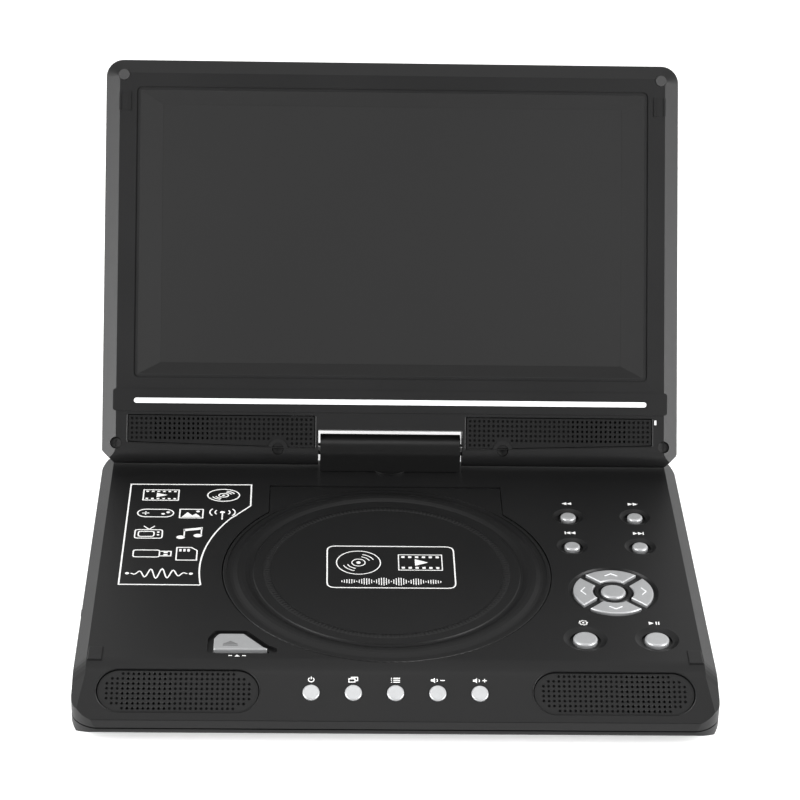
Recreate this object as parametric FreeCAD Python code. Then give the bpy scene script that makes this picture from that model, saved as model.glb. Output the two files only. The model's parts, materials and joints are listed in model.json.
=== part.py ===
"""Portable disc player with a swivelling screen, as an assembly of separate solids, one STEP file per node.

Frame: millimetres, +Z up, +X to the user's right, -Y towards the user. The origin is on the desk, under the
middle of the base. The base is a clamshell tray with a sloping front, a round disc lid and its keys. A hinge
block stands at the rear: it swivels about a vertical post, and the screen tilts about a horizontal shaft in
the block's knuckle.
"""
import FreeCAD
import Part
import math
import os

V = FreeCAD.Vector
X_AXIS = V(1, 0, 0)
Y_AXIS = V(0, 1, 0)
Z_AXIS = V(0, 0, 1)

# Base body
BASE_W = 249.4                 # across the side walls
FRONT_Y = -93.0
REAR_Y = 93.0
DECK_Z = 25.0                  # flat top, above the desk
FOOT_H = 1.5                   # rubber feet lift the bottom cover by this
WALL = 2.2
PART_Z = 9.2                   # parting line of the two base covers
PART_GAP = 0.5                 # groove that shows at the parting line
CREASE_Y = -72.0               # where the flat deck turns into the sloping front
SLOPE_DEG = 31.0
CREASE_R = 16.0
SIDE_BEVEL = (5.2, 4.8)        # run in from the side, drop from the deck
REAR_BEVEL = (5.2, 4.8)
BEVEL_FADE = (0.3, 0.25)        # share of the side bevel's run and drop left at the front wall
FRONT_CORNER_R = 12.0
REAR_CORNER_R = 8.0
BASE_SCREWS = [(sx * x, y) for x, y in ((113, 82), (34, 81), (113, -58), (47, -83)) for sx in (-1, 1)]
PILOT_TOP = 15.2                # blind end of the screws' pilot holes
FEET = [(sx * 104, y) for y in (-70, 80) for sx in (-1, 1)]

# Disc compartment
LID_X, LID_Y = -2.6, -3.0      # spindle axis
LID_R = 67.0
TAB_X0, TAB_X1 = -51.4, 47.0   # square tab behind the round lid
LID_HINGE_Y, LID_HINGE_Z = 63.4, 23.4
LID_EDGE_R = 1.6               # rounded rear edge of the tab, about the lid's hinge
LID_PIN_R = 1.0
LID_GAP = 0.15                 # the lid stands in from its outline, and the opening out from it
LID_UNDER_Z = DECK_Z - 2.2
CREST_TOP = 0.35               # height of the lid's ridge over the deck
CATCH_DEG = 222.0              # direction of the lid's catch from the spindle
WELL_R = 62.5                  # for a 120 mm disc
WELL_FLOOR_Z = 15.0
FLANGE_Z = 21.4

# Keys: centres on the deck or along the slope
KEY_COLUMNS = (74.6, 102.8)
ROW_TOP, ROW_BELOW, ROW_BOTTOM = 41.0, 17.3, -52.5
SMALL_KEY_R, SMALL_DISH_R = 3.2, 6.5
LARGE_KEY_R, LARGE_DISH_R = 4.8, 8.7
DISH_DEPTH = 1.7
DISH_STEP = (1.3, 0.8)         # flat floor round the key, and the step up from it to the dish
KEY_RISE = 0.35                # key tops stand over the deck by this
KEY_CLEAR = 0.25
NAV_X, NAV_Y = 88.6, -17.8
NAV_R, NAV_KEY_R0, NAV_KEY_R1, NAV_OK_R = 18.3, 8.3, 16.2, 5.0
NAV_ARM = 1.7                   # half width of the arms between the arrow keys
NAV_SINK, NAV_RISE = 1.3, 0.2   # ring's floor below the deck, and key tops above it
FRONT_KEY_XS = [-0.4 + 16.2 * i for i in range(-2, 3)]
FRONT_KEY_D = 11.85            # down the slope from the crease
FRONT_KEY_R = 3.3
OPEN_KEY_ROUNDS = (0.7, 0.5, 0.6, 0.9, 2.2, 2.2)
OPEN_KEY = [(-70.9, -62.2), (-48.9, -62.0), (-51.5, -60.3), (-59.3, -51.0), (-69.2, -51.0), (-70.9, -54.5)]
GRILLE_SINK = 0.7              # base grille plates lie below the slope
GRILLE_X, GRILLE_D = 83.8, 11.3
GRILLE_LEN, GRILLE_R = 62.5, 8.9
PAD_X, PAD_Y = 116.3, -65.4    # raised pads that meet the screen's corner tabs when it is shut
PAD_SIZE = (5.6, 8.6, 0.45)

# Hinge block
AXIS_Y = 83.2                  # swivel axis, and tilt axis at rest
AXIS_Z = DECK_Z + 8.0          # tilt axis
KNUCKLE_R = 6.5
KNUCKLE_W = 60.4
BLOCK_Z = DECK_Z + 0.6           # underside of the swivelling block
POST_R, POST_BORE_R = 6.0, 4.0
PLATE_TOP = 18.8                # steel plate that carries the swivel post
SHAFT_R = 2.5

# Screen: s across, t up from the tilt axis, n out of the face
LEAN_DEG = 31.0                # leans back from upright
SCREEN_W = 248.2
SCREEN_TOP = 167.6
SCREEN_T = 7.0                 # from the tilt axis to the face, and to the back
SCREEN_BEVEL = (6.1, 4.0)
SCREEN_WALL = 1.8
SCREEN_CORNER_R = 7.5
NOTCH_W, NOTCH_TOP = 62.0, 8.0
RIM = (109.0, 31.3, 154.0)     # half width, bottom and top of the sunk screen frame
GLASS = (99.3, 36.5, 148.1)    # half width, bottom and top of the picture
GLASS_DEPTH = 2.6
BAND = (119.3, 15.35, 24.9, 0.5)
STRIP_CLEAR = 0.4              # groove about the trim strip
STRIP_HALF, STRIP_T, STRIP_R = 110.3, 19.85, 1.1
SCREEN_GRILLE = ((32.3, 13.9), (113.0, 13.9), (113.0, 1.9), (32.3, -0.2))
TAB_S, TAB_T = 115.65, 149.0
LAMP, LAMP_SIZE = (114.3, 12.2), (0.8, 2.0)
SCREW_SEAT = 4.4               # depth of the screws' counterbores
CAPPED_SCREWS = [(-116.2, 160.7), (116.2, 160.7)]
OPEN_SCREWS = [(-118.0, 1.6), (118.0, 1.6), (-48.4, -0.4), (48.4, -0.4)]

# Disc drive
ROD_DX, ROD_R, ROD_Z = 17.0, 1.5, 7.5
SCREW_X = LID_X + 26.0
SLED_Y = LID_Y - 24.0          # lens at its innermost track
SLED_TRAVEL = 34.0
DAMPERS = [(x, y) for x in (-32, 30) for y in (-69, 10)]

# Sockets on the right wall and the switch on the left wall
SOCKET_Z = 14.0
CARD_Y, USB_Y, PHONES_Y, AV_Y, DC_Y = 58.0, 30.0, 10.0, -4.0, -20.0
JACK_BORE_R = 1.8
SWITCH_Y = -20.0
BOARD_Z = 8.0

parts = {}


# ---- shape helpers ------------------------------------------------------------------------------
def box(x0, x1, y0, y1, z0, z1):
    return Part.makeBox(x1 - x0, y1 - y0, z1 - z0, V(x0, y0, z0))


def cyl(r, z0, z1, x=0.0, y=0.0):
    return Part.makeCylinder(r, z1 - z0, V(x, y, z0))


def cyl_x(r, x0, x1, y, z):
    return Part.makeCylinder(r, x1 - x0, V(x0, y, z), X_AXIS)


def cyl_y(r, y0, y1, x, z):
    return Part.makeCylinder(r, y1 - y0, V(x, y0, z), Y_AXIS)


def fuse(first, *others):
    return first.multiFuse(list(others)).removeSplitter() if others else first


def cut(solid, *tools):
    return solid.cut(list(tools)) if tools else solid


def inset(points, t):
    """A convex outline of (u, v, corner radius), anticlockwise, moved in by t."""
    n = len(points)
    lines = []
    for i in range(n):
        (u0, v0, _), (u1, v1, _) = points[i], points[(i + 1) % n]
        length = math.hypot(u1 - u0, v1 - v0)
        du, dv = (u1 - u0) / length, (v1 - v0) / length
        lines.append((u0 - dv * t, v0 + du * t, du, dv))
    moved = []
    for i in range(n):
        (pu, pv, pdu, pdv), (qu, qv, qdu, qdv) = lines[i - 1], lines[i]
        k = ((qu - pu) * qdv - (qv - pv) * qdu) / (pdu * qdv - pdv * qdu)
        moved.append((pu + k * pdu, pv + k * pdv, max(points[i][2] - t, 0.0)))
    return moved


def outline(points, to_space):
    """A closed wire through (u, v, corner radius) points, with an arc at each rounded corner."""
    n = len(points)
    ends = []
    for i in range(n):
        u, v, r = points[i]
        p = V(u, v, 0)
        if r < 0.01:
            ends.append((p, None, p))
            continue
        before = V(points[i - 1][0] - u, points[i - 1][1] - v, 0).normalize()
        after = V(points[(i + 1) % n][0] - u, points[(i + 1) % n][1] - v, 0).normalize()
        half = before.getAngle(after) / 2
        reach = r / math.tan(half)
        middle = (before + after).normalize()
        centre = p + middle * (r / math.sin(half))
        ends.append((p + before * reach, centre - middle * r, p + after * reach))
    edges = []
    for i in range(n):
        start, through, end = ends[i]
        if through is not None:
            edges.append(Part.Arc(to_space(start), to_space(through), to_space(end)).toShape())
        nxt = ends[(i + 1) % n][0]
        if (nxt - end).Length > 1e-4:
            edges.append(Part.LineSegment(to_space(end), to_space(nxt)).toShape())
    return Part.Wire(edges)


def slab_xy(points, z0, z1):
    """An outline in the horizontal plane, extruded from z0 to z1."""
    face = Part.Face(outline(points, lambda p: V(p.x, p.y, z0)))
    return face.extrude(V(0, 0, z1 - z0))


def slab_yz(points, x0, x1):
    face = Part.Face(outline(points, lambda p: V(x0, p.x, p.y)))
    return face.extrude(V(x1 - x0, 0, 0))


def slab_xz(points, y0, y1):
    face = Part.Face(outline(points, lambda p: V(p.x, y0, p.y)))
    return face.extrude(V(0, y1 - y0, 0))


def rectangle(x0, x1, y0, y1, r=0.0):
    return [(x0, y0, r), (x1, y0, r), (x1, y1, r), (x0, y1, r)]


def stadium(length, r, z0, z1):
    """A slot shape along X, centred on the origin."""
    half = length / 2 - r
    return fuse(box(-half, half, -r, r, z0, z1), cyl(r, z0, z1, -half), cyl(r, z0, z1, half))


def turned(profile, x=0.0, y=0.0):
    """A solid of revolution about the vertical through x, y, from its (radius, z) profile."""
    wire = Part.makePolygon([V(r, 0, z) for r, z in profile + profile[:1]])
    solid = Part.Face(wire).revolve(V(0, 0, 0), Z_AXIS, 360)
    solid.translate(V(x, y, 0))
    return solid


def frustum(r0, r1):
    """A solid between two rectangles (half width, low, high, y) of the screen's own frame."""
    wires = []
    for half, low, high, y in (r0, r1):
        corners = [V(-half, y, low), V(half, y, low), V(half, y, high), V(-half, y, high)]
        wires.append(Part.makePolygon(corners + corners[:1]))
    return Part.makeLoft(wires, True, True)


def on_slope(shape, x=0.0, d=0.0):
    """Places a shape made on the XY plane onto the sloping front, d down from the crease."""
    placed = shape.copy()
    placed.translate(V(x, -d, 0))
    placed.rotate(V(0, 0, 0), X_AXIS, SLOPE_DEG)
    placed.translate(V(0, CREASE_Y, DECK_Z))
    return placed


def on_screen(shape):
    """Places a shape of the screen's upright frame (s, -n, t) onto the tilt axis, leaning back."""
    placed = shape.copy()
    placed.rotate(V(0, 0, 0), X_AXIS, -LEAN_DEG)
    placed.translate(V(0, AXIS_Y, AXIS_Z))
    return placed


def both_sides(shape):
    """A shape and its mirror image across the YZ plane."""
    return [shape, shape.mirror(V(0, 0, 0), X_AXIS)]


def group(solids):
    return Part.makeCompound(list(solids))


# ---- base covers --------------------------------------------------------------------------------
def top_line():
    """Points (y, z, share) along the top, from the deck down the slope.

    share goes from 0 at the crease to 1 at the front wall."""
    slope = math.radians(SLOPE_DEG)
    start = CREASE_Y + CREASE_R * math.tan(slope / 2)
    line = [(REAR_Y + 5, DECK_Z, 0.0)]
    for i in range(5):
        a = slope * i / 4
        line.append((start - CREASE_R * math.sin(a), DECK_Z - CREASE_R * (1 - math.cos(a)), 0.0))
    y0, z0, _ = line[-1]
    reach = y0 - FRONT_Y
    for k in (0.25, 0.5, 0.75, 1.0):
        line.append((y0 - reach * k, z0 - reach * k * math.tan(slope), k))
    return line + [(FRONT_Y - 5, line[-1][1], 1.0)]


def bevelled_length(t):
    """The base's cross-sections joined along its length: the side bevel follows the top line and fades."""
    half, over = BASE_W / 2, 0.6
    wires = []
    for y, z, share in top_line():
        run = SIDE_BEVEL[0] * (1 - share * (1 - BEVEL_FADE[0]))
        drop = SIDE_BEVEL[1] * (1 - share * (1 - BEVEL_FADE[1]))
        inward = half - run * (drop + over) / drop
        section = [(-half + 5, FOOT_H, 0), (half - 5, FOOT_H, 0), (half, FOOT_H + 5, 0), (half, z - drop, 0),
                   (inward, z + over, 0), (-inward, z + over, 0), (-half, z - drop, 0), (-half, FOOT_H + 5, 0)]
        corners = [V(u, y, v) for u, v, _ in inset(section, t)]
        wires.append(Part.makePolygon(corners + corners[:1]))
    return Part.makeLoft(wires, True, True)


def base_block(t=0.0):
    """The base's outer shape, moved in by t: its plan, its side view and its bevelled length intersected."""
    half = BASE_W / 2
    slope = math.tan(math.radians(SLOPE_DEG))
    lip_z = DECK_Z - (CREASE_Y - FRONT_Y - 0.6) * slope
    side = [(FRONT_Y + 11, FOOT_H, 4.0), (REAR_Y - 6, FOOT_H, 2.0), (REAR_Y, FOOT_H + 5, 2.0),
            (REAR_Y, DECK_Z - REAR_BEVEL[1], 2.0), (REAR_Y - REAR_BEVEL[0], DECK_Z, 6.0),
            (CREASE_Y, DECK_Z, CREASE_R), (FRONT_Y + 0.6, lip_z, 0.5), (FRONT_Y, FOOT_H + 5.8, 1.5)]
    plan = [(-half, FRONT_Y, FRONT_CORNER_R), (half, FRONT_Y, FRONT_CORNER_R),
            (half, REAR_Y, REAR_CORNER_R), (-half, REAR_Y, REAR_CORNER_R)]
    block = slab_xy(inset(plan, t), 0, DECK_Z + 5)
    block = block.common(slab_yz(inset(side, t), -half - 5, half + 5))
    return block.common(bevelled_length(t))


def lid_outline(offset, z0, z1):
    """The round lid with its square rear tab, grown by offset."""
    tab = box(TAB_X0 - offset, TAB_X1 + offset, LID_Y, LID_HINGE_Y + LID_EDGE_R + offset, z0, z1)
    return fuse(cyl(LID_R + offset, z0, z1, LID_X, LID_Y), tab)


def dish(x, y, key_r, dish_r):
    """A round dish about a key: a curved slope, a step down to a narrow flat floor, and the key's hole."""
    hole = key_r + KEY_CLEAR
    floor_w, step = DISH_STEP
    slope_end, slope_depth = key_r + floor_w, DISH_DEPTH - step
    profile = [(0, DECK_Z + 1), (dish_r, DECK_Z + 1), (dish_r, DECK_Z)]
    for i in range(1, 6):
        k = i / 5
        profile.append((dish_r - (dish_r - slope_end) * k, DECK_Z - slope_depth * math.sin(k * math.pi / 2)))
    floor = DECK_Z - DISH_DEPTH
    profile += [(slope_end, floor), (hole, floor), (hole, DECK_Z - WALL - 1), (0, DECK_Z - WALL - 1)]
    return turned(profile, x, y)


def nav_sector(angle, grow, z0, z1):
    """One arrow key of the ring, facing angle, grown by grow on every side."""
    ring = cyl(NAV_KEY_R1 + grow, z0, z1).cut(cyl(NAV_KEY_R0 - grow, z0, z1))
    reach = NAV_R * 2
    arm = NAV_ARM - grow
    wedge = Part.makePolygon([V(arm * math.sqrt(2), 0, z0), V(reach, reach - arm * math.sqrt(2), z0),
                              V(reach, -reach + arm * math.sqrt(2), z0), V(arm * math.sqrt(2), 0, z0)])
    sector = ring.common(Part.Face(wedge).extrude(V(0, 0, z1 - z0)))
    sector.rotate(V(0, 0, 0), Z_AXIS, angle)
    sector.translate(V(NAV_X, NAV_Y, 0))
    return sector


def nav_cuts():
    """The sunk ring of the arrow keys, the four key holes and the middle key's hole."""
    floor = DECK_Z - NAV_SINK
    sink = turned([(0, DECK_Z + 1), (NAV_R, DECK_Z + 1), (NAV_R, DECK_Z), (NAV_R - 0.6, DECK_Z - 0.8),
                   (NAV_R - 1.4, floor), (7.9, floor), (7.4, DECK_Z - 0.3), (6.2, DECK_Z - 0.3), (5.7, floor),
                   (0, floor)], NAV_X, NAV_Y)
    holes = [nav_sector(a, KEY_CLEAR, DECK_Z - WALL - 1, DECK_Z + 1) for a in (0, 90, 180, 270)]
    return [sink, cyl(NAV_OK_R + KEY_CLEAR, DECK_Z - WALL - 1, DECK_Z + 1, NAV_X, NAV_Y)] + holes


def socket_cuts():
    """Openings in the right wall for the sockets, and in the left wall for the power switch."""
    x0, x1 = BASE_W / 2 - WALL - 2, BASE_W / 2 + 2
    round_cuts = [cyl_x(r, x0, x1, y, SOCKET_Z) for r, y in ((3.6, PHONES_Y), (3.6, AV_Y), (4.2, DC_Y))]
    return round_cuts + [
        box(x0, x1, USB_Y - 7.0, USB_Y + 7.0, SOCKET_Z - 3.1, SOCKET_Z + 3.1),
        box(x0, x1, CARD_Y - 13.0, CARD_Y + 13.0, SOCKET_Z - 1.8, SOCKET_Z + 1.8),
        box(-x1, -x0, SWITCH_Y - 3.8, SWITCH_Y + 5.0, SOCKET_Z - 1.9, SOCKET_Z + 1.9)]


def make_top_cover():
    shell = base_block().common(box(-150, 150, -150, 150, PART_Z + PART_GAP / 2, 40)).cut(base_block(WALL))
    hinge_bosses = [box(TAB_X0 - 4.6, TAB_X0 - 0.3, 60, 67, 20.5, DECK_Z - WALL / 2),
                    box(TAB_X1 + 0.3, TAB_X1 + 4.6, 60, 67, 20.5, DECK_Z - WALL / 2)]
    screw_bosses = [cyl(3.4, PART_Z, DECK_Z - WALL, x, y).common(base_block(WALL / 2)) for x, y in BASE_SCREWS]
    turret = cyl(9.3, PLATE_TOP + 0.05, DECK_Z, 0, AXIS_Y)
    pad_x, pad_y, pad_z = PAD_SIZE
    pad = box(PAD_X - pad_x / 2, PAD_X + pad_x / 2, PAD_Y - pad_y / 2, PAD_Y + pad_y / 2, DECK_Z - 1, DECK_Z + pad_z)
    pad = pad.makeFillet(0.35, [e for e in pad.Edges if e.BoundBox.ZMin > DECK_Z + pad_z - 0.01])
    shell = fuse(shell, turret, *(hinge_bosses + screw_bosses + both_sides(pad)))
    tools = [lid_outline(LID_GAP, LID_UNDER_Z - 2, DECK_Z + 2)]
    tools += [cyl_x(LID_PIN_R + 0.05, x0, x1, LID_HINGE_Y, LID_HINGE_Z)
              for x0, x1 in ((TAB_X0 - 3.2, TAB_X0), (TAB_X1, TAB_X1 + 3.2))]
    tools += [cyl(1.3, PART_Z, PILOT_TOP, x, y) for x, y in BASE_SCREWS]
    tools += [dish(x, y, SMALL_KEY_R, SMALL_DISH_R) for x in KEY_COLUMNS for y in (ROW_TOP, ROW_BELOW)]
    tools += [dish(x, ROW_BOTTOM, LARGE_KEY_R, LARGE_DISH_R) for x in KEY_COLUMNS]
    tools += nav_cuts() + socket_cuts()
    tools += [on_slope(cyl(FRONT_KEY_R + KEY_CLEAR, -8, 4), x, FRONT_KEY_D) for x in FRONT_KEY_XS]
    tools += [on_slope(stadium(GRILLE_LEN, GRILLE_R, -8, 4), sx * GRILLE_X, GRILLE_D) for sx in (-1, 1)]
    # The open key's hole, inside a wider sunk surround
    tools += [slab_xy([(u, v, 0.6) for u, v in grown(OPEN_KEY, 0.3)], DECK_Z - WALL - 1, DECK_Z + 1),
              slab_xy([(u, v, 2.2) for u, v in grown(OPEN_KEY, 2.4)], DECK_Z - 1.4, DECK_Z + 1)]
    tools += [cyl(POST_R + 0.6, 10, DECK_Z + 2, 0, AXIS_Y)]
    return cut(shell, *tools)


def grown(points, t):
    """A convex outline moved out by t."""
    return [(u, v) for u, v, _ in inset([(u, v, 0) for u, v in points], -t)]


def make_bottom_cover():
    below = base_block().common(box(-150, 150, -150, 150, 0, PART_Z - PART_GAP / 2))
    shell = below.cut(base_block(WALL))
    tongue = base_block(WALL + 0.2).common(box(-150, 150, CREASE_Y - 6, 150, PART_Z - 2.5, PART_Z + 1.6))
    root = base_block(WALL - 0.4).common(box(-150, 150, -150, 150, PART_Z - 2.5, PART_Z - PART_GAP / 2))
    hollow = base_block(WALL + 1.3)
    floor = FOOT_H + WALL
    posts = [cyl(3.6, floor - 0.5, PART_Z - 0.2, x, y).common(base_block(WALL / 2)) for x, y in BASE_SCREWS]
    posts += [cyl(3.0, floor - 0.5, 8.4, x, y) for x, y in DAMPERS]
    posts += [cyl(2.4, floor - 0.5, BOARD_Z - 0.05, x, y) for x in (46, 108) for y in (-44, 62)]
    shell = fuse(shell, fuse(tongue, root).cut(hollow), *posts)
    tools = [cyl(1.5, 0, PART_Z, x, y) for x, y in BASE_SCREWS]
    tools += [cyl(3.0, 0, FOOT_H + 2.6, x, y) for x, y in BASE_SCREWS]
    tools += [cyl(5.2, 0, FOOT_H + 0.8, x, y) for x, y in FEET]
    vent = stadium(26, 0.9, 0, floor + 1)
    for x in (-44, 0, 44):
        for row in range(5):
            slot = vent.copy()
            slot.translate(V(x, 30 + 5 * row, 0))
            tools.append(slot)
    tools.append(box(-28, 28, -62, -32, 0, FOOT_H + 0.4))
    switch = box(-BASE_W / 2 + 1, -BASE_W / 2 + 5, SWITCH_Y - 9, SWITCH_Y + 11, PART_Z - 1, PART_Z + 3)
    sockets = box(BASE_W / 2 - 8, BASE_W / 2 - 1, DC_Y - 8, CARD_Y + 16, PART_Z - 1, PART_Z + 3)
    return cut(shell, switch, sockets, *tools)


def screw(x, y, head_z, length, head_r=2.6, shank_r=1.2):
    """A pan-head screw driven upwards, with a cross recess in its head."""
    head = cyl(head_r, head_z, head_z + 1.3, x, y)
    shank = cyl(shank_r, head_z, head_z + length, x, y)
    cross = [box(x - 1.3, x + 1.3, y - 0.3, y + 0.3, head_z - 1, head_z + 0.6),
             box(x - 0.3, x + 0.3, y - 1.3, y + 1.3, head_z - 1, head_z + 0.6)]
    return fuse(head, shank).cut(fuse(*cross))


def make_base_fittings():
    feet = []
    for x, y in FEET:
        foot = cyl(5.0, 0, FOOT_H + 0.7, x, y)
        feet.append(foot.makeChamfer(0.5, [e for e in foot.Edges if e.BoundBox.ZMax < 0.01]))
    parts["rubber_feet"] = group(feet)
    parts["base_screws"] = group(screw(x, y, FOOT_H + 1.3, 12.0) for x, y in BASE_SCREWS)


# ---- disc lid and keys --------------------------------------------------------------------------
def make_lid():
    """Lid plate with a sunk middle inside a rounded ridge, and hinge stubs at the ends of its rounded rear edge."""
    y1 = LID_HINGE_Y
    plate = lid_outline(-LID_GAP, LID_UNDER_Z, DECK_Z).common(box(-90, 90, -90, y1, 0, 40))
    edge = cyl_x(LID_EDGE_R, TAB_X0 + LID_GAP, TAB_X1 - LID_GAP, y1, LID_HINGE_Z)
    z = DECK_Z
    crest = z + CREST_TOP
    ridge = turned([(0, z - 1), (63.6, z - 1), (63.6, z - 0.45), (62.6, z - 0.3), (60.8, crest - 0.1), (59.2, crest),
                    (57.6, crest - 0.1), (56.4, z - 0.1), (55.6, z - 0.4), (54.6, z - 0.4), (54.2, z), (0, z)],
                   LID_X, LID_Y)
    moat = cyl(65.2, z - 0.45, z + 1, LID_X, LID_Y).cut(cyl(54.2, z - 1, z + 2, LID_X, LID_Y))
    pocket = cyl(58.0, LID_UNDER_Z - 1, DECK_Z - 1.3, LID_X, LID_Y)
    pins = cyl_x(LID_PIN_R, TAB_X0 - 2.8, TAB_X1 + 2.8, y1, LID_HINGE_Z)
    hook = catch_hook()
    body = fuse(fuse(plate, edge).cut(moat), ridge, pins).cut(pocket)
    rim = [e for e in body.Edges if abs(e.BoundBox.ZMin - DECK_Z) < 0.01 and abs(e.BoundBox.ZMax - DECK_Z) < 0.01
           and isinstance(e.Curve, Part.Circle) and e.Curve.Radius > 66]
    body = body.makeFillet(0.5, rim) if rim else body
    parts["disc_lid"] = fuse(body, hook)
    liner = cyl(57.6, DECK_Z - 2.1, DECK_Z - 1.4, LID_X, LID_Y).cut(cyl(9, 0, 40, LID_X, LID_Y))
    parts["lid_liner"] = liner


def at_catch(shape, r):
    """Places a shape made along +X at radius r in the direction of the lid's catch."""
    placed = shape.copy()
    placed.translate(V(r, 0, 0))
    placed.rotate(V(0, 0, 0), Z_AXIS, CATCH_DEG)
    placed.translate(V(LID_X, LID_Y, 0))
    return placed


def catch_hook():
    """A tongue under the lid's rim with a foot that snaps past the latch's nose."""
    stem = box(-0.8, 0.8, -3.0, 3.0, 18.4, LID_UNDER_Z + 0.5)
    foot = box(0.7, 1.6, -3.0, 3.0, 18.4, 19.4)
    return at_catch(fuse(stem, foot), 64.8)


def make_latch():
    plate = box(-3.2, 14.0, -4.0, 4.0, 18.2, 19.8)
    nose = box(-3.7, -3.0, -2.6, 2.6, 19.0, 19.8)
    parts["lid_latch"] = at_catch(fuse(plate, nose), 70.2)
    top = DECK_Z + 0.3
    cap = slab_xy([(u, v, r) for (u, v), r in zip(OPEN_KEY, OPEN_KEY_ROUNDS)], DECK_Z - 2.6, top)
    cap = cap.makeFillet(0.45, [e for e in cap.Edges if e.BoundBox.ZMin > top - 0.01])
    flange = slab_xy([(u, v, 0.5) for u, v in grown(OPEN_KEY, 1.1)], DECK_Z - 3.4, DECK_Z - 2.5)
    stem = box(-62.5, -60.0, -58.5, -54.5, DECK_Z - 3.9, DECK_Z - 3.0)
    parts["open_button"] = fuse(cap, flange, stem)


def deck_key(x, y, r):
    """A round key cap with a rounded edge, a flange below the cover and a stem for its switch."""
    top, under = DECK_Z + KEY_RISE, DECK_Z - 3.0
    cap = cyl(r, under, top, x, y)
    cap = cap.makeFillet(0.9, [e for e in cap.Edges if e.BoundBox.ZMin > top - 0.01])
    return fuse(cap, cyl(r + 0.9, under - 0.9, under, x, y), cyl(1.2, DECK_Z - 4.8, under - 0.8, x, y))


def make_keys():
    left, right = KEY_COLUMNS
    parts["rewind_button"] = deck_key(left, ROW_TOP, SMALL_KEY_R)
    parts["forward_button"] = deck_key(right, ROW_TOP, SMALL_KEY_R)
    parts["previous_button"] = deck_key(left, ROW_BELOW, SMALL_KEY_R)
    parts["next_button"] = deck_key(right, ROW_BELOW, SMALL_KEY_R)
    parts["setup_button"] = deck_key(left, ROW_BOTTOM, LARGE_KEY_R)
    parts["play_pause_button"] = deck_key(right, ROW_BOTTOM, LARGE_KEY_R)
    parts["ok_button"] = deck_key(NAV_X, NAV_Y, NAV_OK_R)
    for name, angle in (("right", 0), ("up", 90), ("left", 180), ("down", 270)):
        top = DECK_Z + NAV_RISE
        cap = nav_sector(angle, 0, DECK_Z - 2.6, top)
        cap = cap.makeFillet(0.6, [e for e in cap.Edges if e.BoundBox.ZMin > top - 0.01])
        shoulder = nav_sector(angle, 0.7, DECK_Z - 3.4, DECK_Z - 2.6)
        x, y = nav_middle(angle)
        parts[f"nav_{name}_button"] = fuse(cap, shoulder, cyl(1.2, DECK_Z - 4.8, DECK_Z - 3.3, x, y))
    names = ("power", "mode", "menu", "volume_down", "volume_up")
    for name, x in zip(names, FRONT_KEY_XS):
        cap = cyl(FRONT_KEY_R, -2.8, 0.7)
        cap = cap.makeFillet(0.65, [e for e in cap.Edges if e.BoundBox.ZMin > 0.69])
        key = fuse(cap, cyl(FRONT_KEY_R + 0.8, -3.7, -2.8), cyl(1.2, -4.8, -3.6))
        parts[f"{name}_button"] = on_slope(key, x, FRONT_KEY_D)


def nav_middle(angle):
    middle = (NAV_KEY_R0 + NAV_KEY_R1) / 2
    return (NAV_X + middle * math.cos(math.radians(angle)), NAV_Y + middle * math.sin(math.radians(angle)))


def make_speaker_parts():
    grilles, speakers = [], []
    for sx in (-1, 1):
        plate = stadium(GRILLE_LEN - 0.5, GRILLE_R - 0.25, -2.0, -GRILLE_SINK)
        flange = stadium(GRILLE_LEN + 1.6, GRILLE_R + 0.8, -3.2, -2.4)
        joint = stadium(GRILLE_LEN - 0.5, GRILLE_R - 0.25, -3.2, -1.6).cut(
            stadium(GRILLE_LEN - 3.5, GRILLE_R - 1.75, -4, 0))
        flange = flange.cut(stadium(GRILLE_LEN - 3.5, GRILLE_R - 1.75, -4, 0))
        flange = on_slope(flange, sx * GRILLE_X, GRILLE_D).common(base_block(WALL + 0.1))
        grilles.append(fuse(on_slope(fuse(plate, joint), sx * GRILLE_X, GRILLE_D), flange))
        frame = turned([(6.4, -3.5), (9.6, -3.5), (9.6, -4.3), (7.0, -6.6), (7.0, -9.0), (0, -9.0), (0, -7.0),
                        (4.0, -6.0)])
        cone = turned([(0, -5.2), (2.4, -4.4), (8.9, -3.4), (8.9, -3.0), (2.4, -4.0), (0, -4.8)])
        cone.translate(V(0, 0, -0.3))
        frame = frame.cut(turned([(0, -6.4), (4.2, -5.4), (9.1, -4.2), (9.1, 0), (0, 0)]))
        speakers += [on_slope(frame, sx * 93.4, GRILLE_D), on_slope(cone, sx * 93.4, GRILLE_D)]
    parts["speaker_grilles"] = group(grilles)
    parts["base_speakers"] = group(speakers)


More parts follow.
